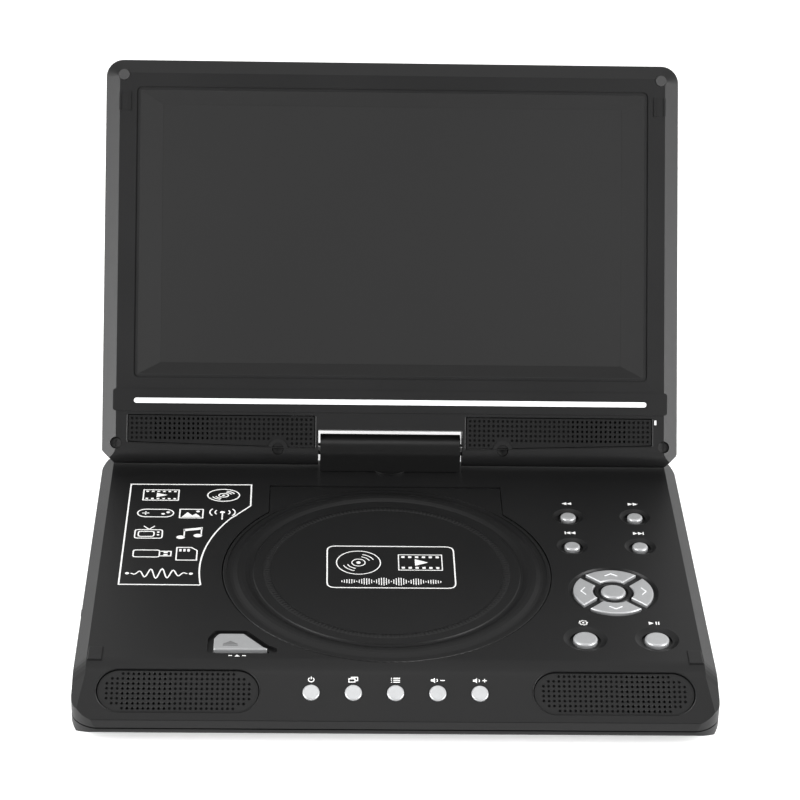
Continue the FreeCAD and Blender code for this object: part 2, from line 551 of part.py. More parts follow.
# ---- disc drive ---------------------------------------------------------------------------------
def make_disc_well():
    """The bowl under the lid: a flange round the lid's opening, a wall and a floor with hub and lens openings."""
    flange = lid_outline(5.0, FLANGE_Z - 1.4, FLANGE_Z)
    bowl = cyl(WELL_R + 1.5, WELL_FLOOR_Z - 1.5, FLANGE_Z, LID_X, LID_Y)
    well = fuse(flange, bowl).cut(cyl(WELL_R, WELL_FLOOR_Z, 40, LID_X, LID_Y))
    posts = []
    for angle in (15, 165, 270, 315):
        a = math.radians(angle)
        posts.append(cyl(2.0, FLANGE_Z - 1, DECK_Z - WALL - 0.05,
                         LID_X + 69.6 * math.cos(a), LID_Y + 69.6 * math.sin(a)))
    tools = [cyl(16.0, 0, 40, LID_X, LID_Y),
             box(LID_X - 9, LID_X + 9, LID_Y - 61, LID_Y, 0, 40),
             box(TAB_X0 - 8, TAB_X0 + 0.2, 59, 80, 0, 40), box(TAB_X1 - 0.2, TAB_X1 + 8, 59, 80, 0, 40),
             at_catch(box(-4.6, 5.0, -5.0, 5.0, 10, 30), 66.5),
             slab_xy([(u, v, 0.5) for u, v in grown(OPEN_KEY, 2.2)], 10, 30)]
    return cut(fuse(well, *posts).common(base_block(WALL + 0.05)), *tools)


def make_drive():
    """Chassis plate with rod brackets, rubber dampers, motors, rods, hub, lens sled and feed screw."""
    y0, y1 = SLED_Y - SLED_TRAVEL - 11.5, LID_Y - 12.0
    plate = slab_xy(rectangle(-37, 35, -74.5, 15, 3), 10.0, 11.2)
    window = box(LID_X - 21.5, SCREW_X + 4.5, y0 + 0.4, LID_Y - 13.6, 0, 40)
    brackets = []
    for x, r in ((LID_X - ROD_DX, ROD_R), (LID_X + ROD_DX, ROD_R), (SCREW_X, ROD_R)):
        for ya, yb in ((y0 - 1.6, y0), (y1 - 1.6, y1)):
            if x == SCREW_X and ya > y0:
                continue
            lug = box(x - 3, x + 3, ya, yb, 4.4, 10.4)
            brackets.append(lug.cut(cyl_y(r + 0.06, ya - 1, yb + 1, x, ROD_Z)))
    chassis = fuse(plate.cut(window), *brackets)
    tools = [cyl(6.0, 5, 20, LID_X, LID_Y)] + [cyl(2.6, 5, 20, x, y) for x, y in DAMPERS]
    tools.append(box(SCREW_X - 4.2, SCREW_X + 4.2, y1, 0, 9, 12))
    parts["drive_chassis"] = cut(chassis, *tools)
    damper = turned([(1.2, 8.45), (3.8, 8.45), (3.8, 9.95), (2.5, 9.95), (2.5, 11.25), (3.8, 11.25), (3.8, 12.6),
                     (1.2, 12.6)])
    parts["drive_dampers"] = group(moved(damper, x, y) for x, y in DAMPERS)
    rod = [cyl_y(ROD_R, y0 - 1.6, y1, LID_X + dx, ROD_Z) for dx in (-ROD_DX, ROD_DX)]
    parts["guide_rods"] = group(rod)
    spindle = cyl(11.5, 4.6, 9.95, LID_X, LID_Y).cut(cyl(1.06, 0, 20, LID_X, LID_Y))
    feed = cyl_y(3.7, y1 + 0.05, y1 + 14, SCREW_X, ROD_Z).cut(cyl_y(1.06, y1 - 3, y1 + 6, SCREW_X, ROD_Z))
    parts["drive_motors"] = group([spindle, feed])
    hub = turned([(0, 5.0), (1.0, 5.0), (1.0, 11.6), (9.0, 11.6), (9.0, 15.6), (14.6, 15.6), (14.6, 16.9),
                  (7.4, 16.9), (7.4, 19.2), (6.2, 20.2), (0, 20.2)], LID_X, LID_Y)
    balls = [Part.makeSphere(1.0, V(LID_X + 7.0 * math.cos(a), LID_Y + 7.0 * math.sin(a), 18.2))
             for a in (math.radians(k * 120 + 30) for k in range(3))]
    parts["spindle_hub"] = fuse(hub, *balls)
    make_sled()
    screw_rod = fuse(cyl_y(1.5, y0 - 1.4, y1 - 2.2, SCREW_X, ROD_Z), cyl_y(1.0, y1 - 2.3, y1 + 5, SCREW_X, ROD_Z))
    parts["feed_screw"] = screw_rod


def make_sled():
    body = box(LID_X - 12, LID_X + 12, SLED_Y - 8, SLED_Y + 8, 5.0, 12.4)
    sleeves = [cyl_y(3.0, SLED_Y - 8, SLED_Y + 8, LID_X + dx, ROD_Z) for dx in (-ROD_DX, ROD_DX)]
    webs = [box(LID_X - ROD_DX, LID_X + ROD_DX, SLED_Y - 6, SLED_Y + 6, 6.2, 8.8)]
    nut = box(LID_X + ROD_DX, SCREW_X + 2.6, SLED_Y - 3, SLED_Y + 3, 5.2, 9.8)
    head = slab_xy(rectangle(LID_X - 6, LID_X + 6, SLED_Y - 5.5, SLED_Y + 5.5, 1.5), 12.0, 13.2)
    lens = Part.makeSphere(2.9, V(LID_X, SLED_Y, 12.6)).common(cyl(2.4, 13.0, 16, LID_X, SLED_Y))
    bores = [cyl_y(ROD_R + 0.06, SLED_Y - 20, SLED_Y + 20, LID_X + dx, ROD_Z) for dx in (-ROD_DX, ROD_DX)]
    bores.append(cyl_y(1.56, SLED_Y - 20, SLED_Y + 20, SCREW_X, ROD_Z))
    parts["laser_sled"] = cut(fuse(body, head, lens, nut, *(sleeves + webs)), *bores)


def moved(shape, x, y, z=0.0):
    placed = shape.copy()
    placed.translate(V(x, y, z))
    return placed


# ---- electronics --------------------------------------------------------------------------------
def make_electronics():
    top = BOARD_Z + 1.6
    parts["main_board"] = slab_xy(rectangle(40, 118, -50, 70, 2), BOARD_Z, top)
    chips = [box(50, 66, -8, 8, top, top + 1.4), box(50, 62, 18, 28, top, top + 1.1),
             box(72, 84, 30, 38, top, top + 1.1), box(72, 80, -38, -30, top, top + 1.3),
             box(44, 52, 46, 62, top, top + 2.6), box(90, 98, 48, 56, top, top + 3.0)]
    chips += [cyl(2.5, top, top + 3.4, x, -44) for x in (50, 57, 64)]
    parts["main_board_parts"] = group(chips)
    key_top = DECK_Z - 6.6
    deck_board = slab_xy(rectangle(72.0, 109.2, -60, 48, 1.5), key_top - 1.4, key_top)
    front_board = on_slope(slab_xy(rectangle(-41, 41, -5.4, 5.4, 1), -8.0, -6.8), 0, FRONT_KEY_D)
    parts["key_boards"] = group([deck_board, front_board])
    centres = [(x, y) for x in KEY_COLUMNS for y in (ROW_TOP, ROW_BELOW, ROW_BOTTOM)]
    centres += [(NAV_X, NAV_Y)] + [nav_middle(a) for a in (0, 90, 180, 270)]
    switches = [fuse(box(x - 2.6, x + 2.6, y - 2.6, y + 2.6, key_top, key_top + 0.7),
                     cyl(1.5, key_top, key_top + 1.2, x, y)) for x, y in centres]
    front_switch = fuse(box(-2.6, 2.6, -2.6, 2.6, -6.8, -6.1), cyl(1.5, -6.8, -5.6))
    switches += [on_slope(front_switch, x, FRONT_KEY_D) for x in FRONT_KEY_XS]
    parts["key_switches"] = group(switches)
    cells = [cyl_y(9.1, -10, 55, x, FOOT_H + WALL + 9.3) for x in (-105.5, -86.8)]
    parts["battery_pack"] = group(cells)


def make_sockets():
    wall = BASE_W / 2
    back = wall - 13.0
    z0, z1 = BOARD_Z + 1.65, SOCKET_Z + 3.4
    sockets = []
    for y in (PHONES_Y, AV_Y):
        body = fuse(box(back, wall - WALL - 0.1, y - 4.0, y + 4.0, z0, z1), cyl_x(3.4, back, wall - 0.4, y, SOCKET_Z))
        sockets.append(body.cut(cyl_x(JACK_BORE_R, back + 1.0, wall + 1, y, SOCKET_Z)))
    power = fuse(box(back, wall - WALL - 0.1, DC_Y - 4.6, DC_Y + 4.6, z0, z1),
                 cyl_x(3.9, back, wall - 0.4, DC_Y, SOCKET_Z)).cut(cyl_x(2.8, back + 1.2, wall + 1, DC_Y, SOCKET_Z))
    sockets.append(fuse(power, cyl_x(0.9, back, wall - 2.0, DC_Y, SOCKET_Z)))
    usb = box(back, wall - 0.4, USB_Y - 6.8, USB_Y + 6.8, SOCKET_Z - 2.9, SOCKET_Z + 2.9)
    usb = usb.cut(box(back + 1, wall + 1, USB_Y - 6.3, USB_Y + 6.3, SOCKET_Z - 2.4, SOCKET_Z + 2.4))
    usb = fuse(usb, box(back, wall - 1.6, USB_Y - 5.6, USB_Y + 5.6, SOCKET_Z + 0.2, SOCKET_Z + 2.0))
    sockets.append(usb)
    card = box(back - 12, wall - 0.5, CARD_Y - 12.8, CARD_Y + 12.8, SOCKET_Z - 1.6, SOCKET_Z + 1.6)
    card = card.cut(box(back - 11, wall + 1, CARD_Y - 12.2, CARD_Y + 12.2, SOCKET_Z - 1.2, SOCKET_Z + 1.2))
    sockets.append(card)
    parts["side_sockets"] = group(sockets)
    grip = box(-wall - 0.9, -wall + WALL, SWITCH_Y - 3.4, SWITCH_Y + 0.6, SOCKET_Z - 1.6, SOCKET_Z + 1.6)
    ribs = [box(-wall - 2, -wall - 0.5, SWITCH_Y - 2.8 + k, SWITCH_Y - 2.4 + k, 5, 25) for k in (0, 0.9, 1.8, 2.7)]
    slider = box(-wall + WALL + 0.1, -wall + WALL + 1.3, SWITCH_Y - 8.0, SWITCH_Y + 5.2, SOCKET_Z - 2.8,
                 SOCKET_Z + 2.8)
    neck = box(-wall + 0.5, -wall + WALL + 0.5, SWITCH_Y - 3.4, SWITCH_Y + 0.6, SOCKET_Z - 1.6, SOCKET_Z + 1.6)
    parts["power_switch"] = fuse(cut(grip, *ribs), neck, slider)


# ---- hinge block --------------------------------------------------------------------------------
def make_hinge_block():
    """Two half covers round a steel frame with the hollow swivel post and the two friction shafts."""
    def block(inset_by):
        half = KNUCKLE_W / 2 - inset_by
        r = KNUCKLE_R - inset_by
        return fuse(box(-half, half, AXIS_Y - r, AXIS_Y + r, BLOCK_Z + inset_by, AXIS_Z),
                    cyl_x(r, -half, half, AXIS_Y, AXIS_Z))
    shell = block(0).cut(block(1.3))
    foot = cyl(8.8, DECK_Z + 0.08, BLOCK_Z + 0.1, 0, AXIS_Y)
    shell = fuse(shell, foot)
    shell = cut(shell, cyl_x(SHAFT_R + 0.05, -40, 40, AXIS_Y, AXIS_Z), cyl(POST_R + 0.05, 20, BLOCK_Z + 1.8, 0, AXIS_Y))
    parts["hinge_cover_front"] = shell.common(box(-40, 40, AXIS_Y - 20, AXIS_Y, 0, 60))
    parts["hinge_cover_rear"] = shell.common(box(-40, 40, AXIS_Y, AXIS_Y + 20, 0, 60))
    plate = box(-26, 26, AXIS_Y - 4.6, AXIS_Y + 4.6, BLOCK_Z + 1.8, BLOCK_Z + 3.2)
    ears = [box(x - 1, x + 1, AXIS_Y - 3.9, AXIS_Y + 3.9, BLOCK_Z + 3.0, AXIS_Z + 3.2) for x in (-20, 20)]
    frame = fuse(plate, cyl(POST_R, 13.6, BLOCK_Z + 1.8, 0, AXIS_Y), *ears)
    frame = cut(frame, cyl(POST_BORE_R, 10, 40, 0, AXIS_Y), cyl_x(SHAFT_R + 0.02, -30, 30, AXIS_Y, AXIS_Z))
    parts["hinge_frame"] = frame
    low = PLATE_TOP - 1.4
    retainer = turned([(POST_R, low - 3.0), (7.3, low - 3.0), (7.3, low - 1.7), (POST_R, low - 1.7)], 0, AXIS_Y)
    washer = turned([(POST_R + 0.1, low - 1.6), (7.2, low - 0.6), (7.2, low - 0.1), (POST_R + 0.1, low - 1.1)],
                    0, AXIS_Y)
    parts["swivel_retainer"] = group([retainer, washer])
    plate = slab_xy(rectangle(-28, 28, AXIS_Y - 11, REAR_Y - WALL - 0.2, 1), low, PLATE_TOP)
    parts["swivel_plate"] = plate.cut(cyl(POST_R + 0.05, 0, 40, 0, AXIS_Y))
    parts["tilt_shafts"] = group(both_sides(cyl_x(SHAFT_R, 14, 43.6, AXIS_Y, AXIS_Z)))
    parts["display_cable"] = cyl(2.6, 11.5, BLOCK_Z + 4.6, 0, AXIS_Y)


# ---- screen -------------------------------------------------------------------------------------
def screen_block(t=0.0):
    """The closed screen housing in its own upright frame, moved in by t: a plate with a bevelled front, rounded
    at its upper corners and along its lower end."""
    half, face = SCREEN_W / 2, SCREEN_T
    run, drop = SCREEN_BEVEL
    front = inset([(-half, -face + drop, 0), (-half + run, -face, 0), (half - run, -face, 0),
                   (half, -face + drop, 0), (half, face, 0), (-half, face, 0)], t)
    (face_half, face_y, _), (side_half, side_y, _) = front[2], front[3]
    side_r = SCREEN_CORNER_R - t
    face_r = max(side_r - (side_half - face_half), 0.1)
    wires = []
    for reach, y, r in ((face_half, face_y, face_r), (side_half, side_y, side_r)):
        top = SCREEN_TOP - (half - reach)
        points = [(-reach, -20, 0), (reach, -20, 0), (reach, top, r), (-reach, top, r)]
        wires.append(outline(points, lambda p, y=y: V(p.x, y, p.y)))
    body = Part.Face(wires[1]).extrude(V(0, face + 1 - side_y, 0))
    block = fuse(Part.makeLoft(wires, True, True), body)
    across = [(-half - 1, -face - 2, 0), (half + 1, -face - 2, 0), (half, face - 2.5, 2.0), (half - 3.5, face, 3.0),
              (-half + 3.5, face, 3.0), (-half, face - 2.5, 2.0)]
    plan = [(-half + 5.4, -face, 1.0), (half - 5.4, -face, 1.0), (half, -1.8, 2.0), (half, SCREEN_TOP + 5, 0),
            (-half, SCREEN_TOP + 5, 0), (-half, -1.8, 2.0)]
    side = [(-face, -face, face - 0.01), (face, -face, face - 0.01), (face, SCREEN_TOP - 3.5, 3.0),
            (face - 2.5, SCREEN_TOP, 2.0), (-face, SCREEN_TOP, 0)]
    block = block.common(slab_xy(inset(across, t), -20, SCREEN_TOP + 10))
    block = block.common(slab_xz(inset(plan, t), -20, 20))
    return block.common(slab_yz(inset(side, t), -200, 200))


def screen_hole(s, t, r, depth):
    return cyl_y(r, -SCREEN_T - 2, -SCREEN_T + depth, s, t)


def screen_halves():
    """Front bezel and back cover: the housing hollowed, walled round the hinge notch, split at mid thickness."""
    notch_half = NOTCH_W / 2
    outer = screen_block()
    inner = screen_block(SCREEN_WALL)
    keep = box(-notch_half - SCREEN_WALL, notch_half + SCREEN_WALL, -20, 20, -20, NOTCH_TOP + SCREEN_WALL)
    shell = outer.cut(inner.cut(keep))
    notch = box(-notch_half, notch_half, -20, 20, -20, NOTCH_TOP)
    shell = shell.cut(notch).cut(cyl_x(SHAFT_R + 0.4, -60, 60, 0, 0))
    bezel = shell.common(box(-200, 200, -20, -0.1, -20, 200))
    back = shell.common(box(-200, 200, 0.1, 20, -20, 200))
    return bezel, back


def make_bezel(shell):
    face = -SCREEN_T
    rim_half, rim_low, rim_high = RIM
    glass_half, glass_low, glass_high = GLASS
    depth = GLASS_DEPTH
    funnel = frustum((rim_half + 1.6, rim_low - 1.6, rim_high + 1.6, face + 0.4),
                     (glass_half + 1.6, glass_low - 1.6, glass_high + 1.6, face + depth))
    opening = frustum((rim_half, rim_low, rim_high, face - 0.01), (glass_half, glass_low, glass_high, face + depth))
    above = box(-rim_half, rim_half, face - 5, face, rim_low, rim_high)
    window = box(-glass_half, glass_half, face, 5, glass_low, glass_high)
    half, low, high, rise = BAND
    band = slab_xz([(-half, low, 1.2), (half, low, 1.2), (half, high, 1.2), (-half, high, 1.2)],
                   face - rise, face + 1.5)
    band = cut(band, screen_block(SCREEN_WALL * 0.6))
    bosses = [cyl_y(3.6, face + 0.5, -0.2, s, t).common(screen_block(0.8)) for s, t in CAPPED_SCREWS + OPEN_SCREWS]
    tabs = both_sides(screen_tab())
    bezel = fuse(shell, funnel, band, *(bosses + tabs))
    groove = cut(*(slab_xz([(-rim_half - g, rim_low - g, g + 0.8), (rim_half + g, rim_low - g, g + 0.8),
                            (rim_half + g, rim_high + g, g + 0.8), (-rim_half - g, rim_high + g, g + 0.8)],
                           face - 1, face + 0.4) for g in (1.6, 1.0)))
    strip_slot = slot_bar(STRIP_HALF + STRIP_CLEAR, STRIP_R + STRIP_CLEAR, STRIP_T, face - 2, face + 0.5)
    tools = [opening, above, window, groove, strip_slot]
    tools += [screen_hole(s, t, 2.5, SCREW_SEAT) for s, t in CAPPED_SCREWS + OPEN_SCREWS]
    tools += [screen_hole(s, t, 1.3, SCREEN_T + 1) for s, t in OPEN_SCREWS]
    tools += [grille_solid(sx, 0.0, face - 2, face + 3) for sx in (-1, 1)] + [lamp_bar(0.05, face - 2, face + 2.5)]
    return cut(bezel, *tools)


def lamp_bar(grow, y0, y1):
    """The indicator's upright light bar, grown by grow."""
    s, t = LAMP
    half_s, half_t = LAMP_SIZE[0] / 2 + grow, LAMP_SIZE[1] / 2 + grow
    return box(s - half_s, s + half_s, y0, y1, t - half_t, t + half_t)


def slot_bar(half, r, t, y0, y1):
    """A bar with round ends along s."""
    bar = box(-half + r, half - r, y0, y1, t - r, t + r)
    return fuse(bar, cyl_y(r, y0, y1, -half + r, t), cyl_y(r, y0, y1, half - r, t))


def grille_solid(sx, shrink, y0, y1):
    """The speaker panel beside the hinge, less a round bay about its screw."""
    points = [(s, t, 0.8) for s, t in reversed(SCREEN_GRILLE)]
    panel = slab_xz(inset(points, shrink), y0, y1)
    s, t = OPEN_SCREWS[3]
    panel = panel.cut(cyl_y(4.2 + shrink, y0 - 1, y1 + 1, s, t))
    return panel if sx > 0 else panel.mirror(V(0, 0, 0), X_AXIS)


def screen_tab():
    """A low tab between two ribs, which rests over the base's pad when the screen is shut."""
    face = -SCREEN_T
    floor = box(TAB_S - 2.5, TAB_S + 2.5, face - 0.15, face + 0.5, TAB_T - 3.7, TAB_T + 3.7)
    ribs = [box(TAB_S + x - 0.4, TAB_S + x + 0.4, face - 0.45, face + 0.5, TAB_T - 4.0, TAB_T + 4.0)
            for x in (-2.1, 2.1)]
    return fuse(floor, *ribs)


def make_back_cover(shell):
    """Back cover with a shallow panel, vent slots and screw posts."""
    back = SCREEN_T
    posts = [cyl_y(3.2, 0.2, back - 0.5, s, t).common(screen_block(0.8)) for s, t in CAPPED_SCREWS + OPEN_SCREWS]
    cover = fuse(shell, *posts)
    panel = slab_xz([(-86, 60, 6), (86, 60, 6), (86, 140, 6), (-86, 140, 6)], back - 0.5, back + 2)
    panel = panel.cut(slab_xz([(-84.8, 61.2, 5), (84.8, 61.2, 5), (84.8, 138.8, 5), (-84.8, 138.8, 5)],
                              back - 2, back + 3))
    vents = [slot_bar(11, 0.8, 30 + 4 * row, back - 4, back + 2) for row in range(4)]
    vents = [moved(v, x, 0) for v in vents for x in (-70, 70)]
    pilots = [cyl_y(1.05, 0, back - 2.2, s, t) for s, t in OPEN_SCREWS]
    return cut(cover, panel, *(vents + pilots))


def make_screen():
    bezel, back = screen_halves()
    local = {"display_bezel": make_bezel(bezel), "display_back_cover": make_back_cover(back)}
    glass_half, glass_low, glass_high = GLASS
    front = -SCREEN_T + GLASS_DEPTH + 0.05
    local["lcd_panel"] = box(-105, 105, front, front + 1.8, glass_low - 4.5, glass_high + 4.5)
    tray = box(-106.5, 106.5, front + 0.4, front + 3.6, glass_low - 5.5, glass_high + 5.5)
    local["lcd_frame"] = tray.cut(box(-105.1, 105.1, front - 1, front + 1.9, glass_low - 4.6, glass_high + 4.6))
    board = slab_xz([(-70, 50, 2), (70, 50, 2), (70, 118, 2), (-70, 118, 2)], 0.9, 2.1)
    chips = [box(-40, -24, 2.1, 3.6, 70, 86), box(10, 22, 2.1, 3.4, 90, 100), box(20, 44, 2.1, 4.4, 56, 62)]
    local["display_board"] = fuse(board, *chips)
    face = -SCREEN_T
    local["trim_strip"] = slot_bar(STRIP_HALF, STRIP_R, STRIP_T, face - BAND[3] - 0.35, face + 0.45)
    local["display_grilles"] = group(grille_solid(sx, 0.3, face + 0.35, face + 1.75) for sx in (-1, 1))
    local["screw_caps"] = group(rubber_cap(s, t) for s, t in CAPPED_SCREWS)
    screws = [moved(screen_screw(), s, 0, t) for s, t in OPEN_SCREWS]
    local["display_screws"] = group(screws)
    bracket = fuse(cyl_x(4.3, 33.6, 43.0, 0, 0), box(33.6, 43.0, -1.0, 1.0, 0, 27))
    local["hinge_brackets"] = group(both_sides(bracket.cut(cyl_x(SHAFT_R + 0.05, 20, 60, 0, 0))))
    local["indicator_lamp"] = lamp_bar(0.0, face - 0.1, face + 2.4)
    for name, shape in local.items():
        parts[name] = on_screen(shape)


def rubber_cap(s, t):
    """A round rubber plug with a rounded top, standing 0.3 proud of the bezel."""
    cap = cyl_y(2.35, -SCREEN_T - 0.3, -SCREEN_T + 2.6, s, t)
    rim = [e for e in cap.Edges if e.BoundBox.YMax < -SCREEN_T - 0.29]
    return cap.makeFillet(0.25, rim)


def screen_screw():
    """A pan-head screw at the bottom of its counterbore in the bezel, driven from the front."""
    seat = -SCREEN_T + SCREW_SEAT
    head = cyl_y(2.2, seat - 1.4, seat, 0, 0)
    shank = cyl_y(1.0, seat, seat + 7.0, 0, 0)
    cross = [box(-1.2, 1.2, seat - 2, seat - 0.8, -0.3, 0.3), box(-0.3, 0.3, seat - 2, seat - 0.8, -1.2, 1.2)]
    return fuse(head, shank).cut(fuse(*cross))


def main():
    parts["base_top_cover"] = make_top_cover()
    parts["base_bottom_cover"] = make_bottom_cover()
    make_base_fittings()
    make_lid()
    make_latch()
    make_keys()
    make_speaker_parts()
    parts["disc_well"] = make_disc_well()
    make_drive()
    make_electronics()
    make_sockets()
    make_hinge_block()
    make_screen()
    os.makedirs("parts", exist_ok=True)
    for name, shape in sorted(parts.items()):
        good = shape.isValid() and shape.Volume > 0 and all(s.isClosed() for s in shape.Shells)
        print(f"{name:20s} {'ok ' if good else 'BAD'} solids {len(shape.Solids):2d} volume {shape.Volume:10.1f}")
        shape.exportStep(f"parts/{name}.step")


main()
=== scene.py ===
"""Looks of a portable disc player: moulded covers, perforated speaker panels, printed marks, keys, stage.

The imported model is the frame. Every length here is in millimetres in the row frame until `MM` turns it into
metres, and every piece has its place in its mesh. Flat details are drawn on a `Facing`, a working plane that lies
on the deck, on the sloping front or on the screen.
"""
import json
import math

import bpy
import numpy as np
from bpy.props import FloatProperty, FloatVectorProperty, PointerProperty
from bpy.types import Operator, Panel, PropertyGroup
from mathutils import Matrix, Vector


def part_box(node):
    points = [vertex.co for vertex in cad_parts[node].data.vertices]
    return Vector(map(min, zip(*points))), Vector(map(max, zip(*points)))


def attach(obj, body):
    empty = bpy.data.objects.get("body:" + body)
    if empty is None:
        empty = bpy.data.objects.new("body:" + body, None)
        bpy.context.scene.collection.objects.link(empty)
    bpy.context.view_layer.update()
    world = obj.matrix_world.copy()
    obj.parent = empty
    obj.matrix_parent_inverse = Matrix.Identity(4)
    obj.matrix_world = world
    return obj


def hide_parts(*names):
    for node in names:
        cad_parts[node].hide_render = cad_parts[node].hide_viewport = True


bl_info = {
    "name": "Portable disc player looks",
    "version": (1, 0, 0),
    "blender": (4, 5, 0),
    "location": "View3D > Sidebar > Disc Player",
    "description": "Finishes, perforated panels, printed marks and a stage for a portable disc player",
    "category": "Object",
}

MM = 0.001
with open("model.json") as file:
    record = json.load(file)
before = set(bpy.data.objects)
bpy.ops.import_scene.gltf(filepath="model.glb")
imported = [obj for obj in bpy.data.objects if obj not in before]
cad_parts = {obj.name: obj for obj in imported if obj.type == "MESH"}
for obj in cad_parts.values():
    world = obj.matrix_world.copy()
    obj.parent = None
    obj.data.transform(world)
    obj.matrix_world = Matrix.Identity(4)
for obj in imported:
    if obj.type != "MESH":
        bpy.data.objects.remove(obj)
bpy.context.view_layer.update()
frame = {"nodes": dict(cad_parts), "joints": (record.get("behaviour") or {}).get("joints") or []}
JOINTS = {j["name"]: j for j in frame["joints"]}

DECK_Z = 25.0
LID_X, LID_Y = JOINTS["disc_spin"]["pos_m"][0] / MM, JOINTS["disc_spin"]["pos_m"][1] / MM
CREASE_Y = -72.0               # where the deck turns into the sloping front
LEAN_DEG = 31.0                # the screen's lean back from upright
FACE = 7.0                     # from the tilt axis to the screen's face
DISPLAY_GRILLE = (32.3, 113.0, -0.2, 1.9, 13.9)   # inner, outer, low inner, low outer, top
BASE_GRILLE_X, BASE_GRILLE_D = 83.8, 11.3
BASE_GRILLE_SINK = 0.66
BASE_GRILLE_LENGTH, BASE_GRILLE_R = 62.5, 8.9
OPEN_SCREW = (48.4, -0.4)
SCREW_CLEAR = 5.0              # cells nearer than this to the screw have no hole
CLOTH_AND_SHADE_SLOT = 1                 # material slot of the dark floor in a panel piece: cloth in deep holes, painted shade in blind dimples
LIP_OUT, LIP_R = 0.62, 0.26    # lip round a base panel: how far outside it, and its radius
BASE_SPEAKER = (12.0, -0.6, 10.5)   # in a base panel: across and up to the speaker's middle, and its radius
SCREEN_SPEAKER = (77.0, 102.0)      # in a screen panel: where the speaker starts and stops across
FLOOR_HALF = 6.0               # metres
CAMERA_TURN = (1.84, 28.41, 1.42)                 # yaw, pitch and roll, degrees
CAMERA_PLACE = (-0.03026, -0.97736, 0.63122)      # metres
CAMERA_LENS = 126.64           # on a sensor 36 mm wide
FRONT_KEYS = ("power", "mode", "menu", "volume_down", "volume_up")
SILVER_KEYS = ["rewind", "forward", "previous", "next", "setup", "play_pause", "ok", "nav_left", "nav_right",
               "nav_up", "nav_down", *FRONT_KEYS]


# ---- settings -----------------------------------------------------------------------------------
class ShellSettings(PropertyGroup):
    """Colour and moulded grain of the charcoal covers."""
    tone: FloatVectorProperty(name="Cover colour", description="Colour of the moulded covers", subtype="COLOR",
                              size=3, default=(0.0044, 0.0044, 0.0045), min=0, max=1)
    roughness: FloatProperty(name="Roughness", description="How matt the covers are", subtype="FACTOR",
                             default=0.42, min=0, max=1)
    grain: FloatProperty(name="Grain size", description="Width of one grain of the spark-eroded surface",
                         unit="LENGTH", default=0.00035, min=0.0001, max=0.002)


class KeySettings(PropertyGroup):
    """Colour of the silver keys and trim, and of the printed marks."""
    silver: FloatVectorProperty(name="Silver", description="Colour of the keys and the trim strip",
                                subtype="COLOR", size=3, default=(0.40, 0.405, 0.41), min=0, max=1)
    ink: FloatVectorProperty(name="Ink", description="Colour of the printed marks", subtype="COLOR", size=3,
                             default=(0.80, 0.80, 0.79), min=0, max=1)
    stroke: FloatProperty(name="Stroke", description="Width of a printed line", unit="LENGTH", default=0.0005,
                          min=0.0001, max=0.002)


class GrilleSettings(PropertyGroup):
    """Holes of the perforated speaker panels."""
    pitch: FloatProperty(name="Pitch", description="Distance from one hole to the next in a row", unit="LENGTH",
                         default=0.00202, min=0.001, max=0.005)
    row: FloatProperty(name="Row spacing", description="Distance from one row of holes to the next",
                       unit="LENGTH", default=0.00207, min=0.001, max=0.005)
    radius: FloatProperty(name="Hole radius", description="Radius of a hole at the surface", unit="LENGTH",
                          default=0.00056, min=0.0002, max=0.001)
    depth: FloatProperty(name="Hole depth", description="Depth of a hole", unit="LENGTH", default=0.0008,
                         min=0.0002, max=0.002)


class StageSettings(PropertyGroup):
    """Floor, surround and lamps of the studio."""
    floor: FloatVectorProperty(name="Floor", description="Colour of the floor", subtype="COLOR", size=3,
                               default=(0.86, 0.86, 0.86), min=0, max=1)
    glow: FloatProperty(name="Floor glow", description="Light given off by the white floor, which washes out "
                        "shadows", default=0.42, min=0, max=2)
    surround: FloatProperty(name="Surround", description="Brightness of the white surround behind the player",
                            default=1.0, min=0, max=5)
    front: FloatProperty(name="Front", description="Brightness of the surround above and in front of it",
                         default=0.2, min=0, max=5)
    side_lamps: FloatProperty(name="Side lamps", description="Power of each side soft box", unit="POWER",
                              default=30.0, min=0, max=500)
    top_lamp: FloatProperty(name="Top lamp", description="Power of the soft box overhead", unit="POWER",
                            default=5.0, min=0, max=500)


# ---- shader maths -------------------------------------------------------------------------------
class Value:
    """A number or vector that a node puts out. Arithmetic on it adds Math nodes to its recipe."""

    def __init__(self, recipe, socket):
        self.recipe = recipe
        self.socket = socket

    def _math(self, operation, first, second):
        return self.recipe.node("Math", {"operation": operation}, {0: first, 1: second})

    def __add__(self, other):
        return self._math("ADD", self, other)

    __radd__ = __add__

    def __sub__(self, other):
        return self._math("SUBTRACT", self, other)

    def __rsub__(self, other):
        return self._math("SUBTRACT", other, self)

    def __mul__(self, other):
        return self._math("MULTIPLY", self, other)

    __rmul__ = __mul__

    def __gt__(self, other):
        return self._math("GREATER_THAN", self, other)

    def __lt__(self, other):
        return self._math("LESS_THAN", self, other)


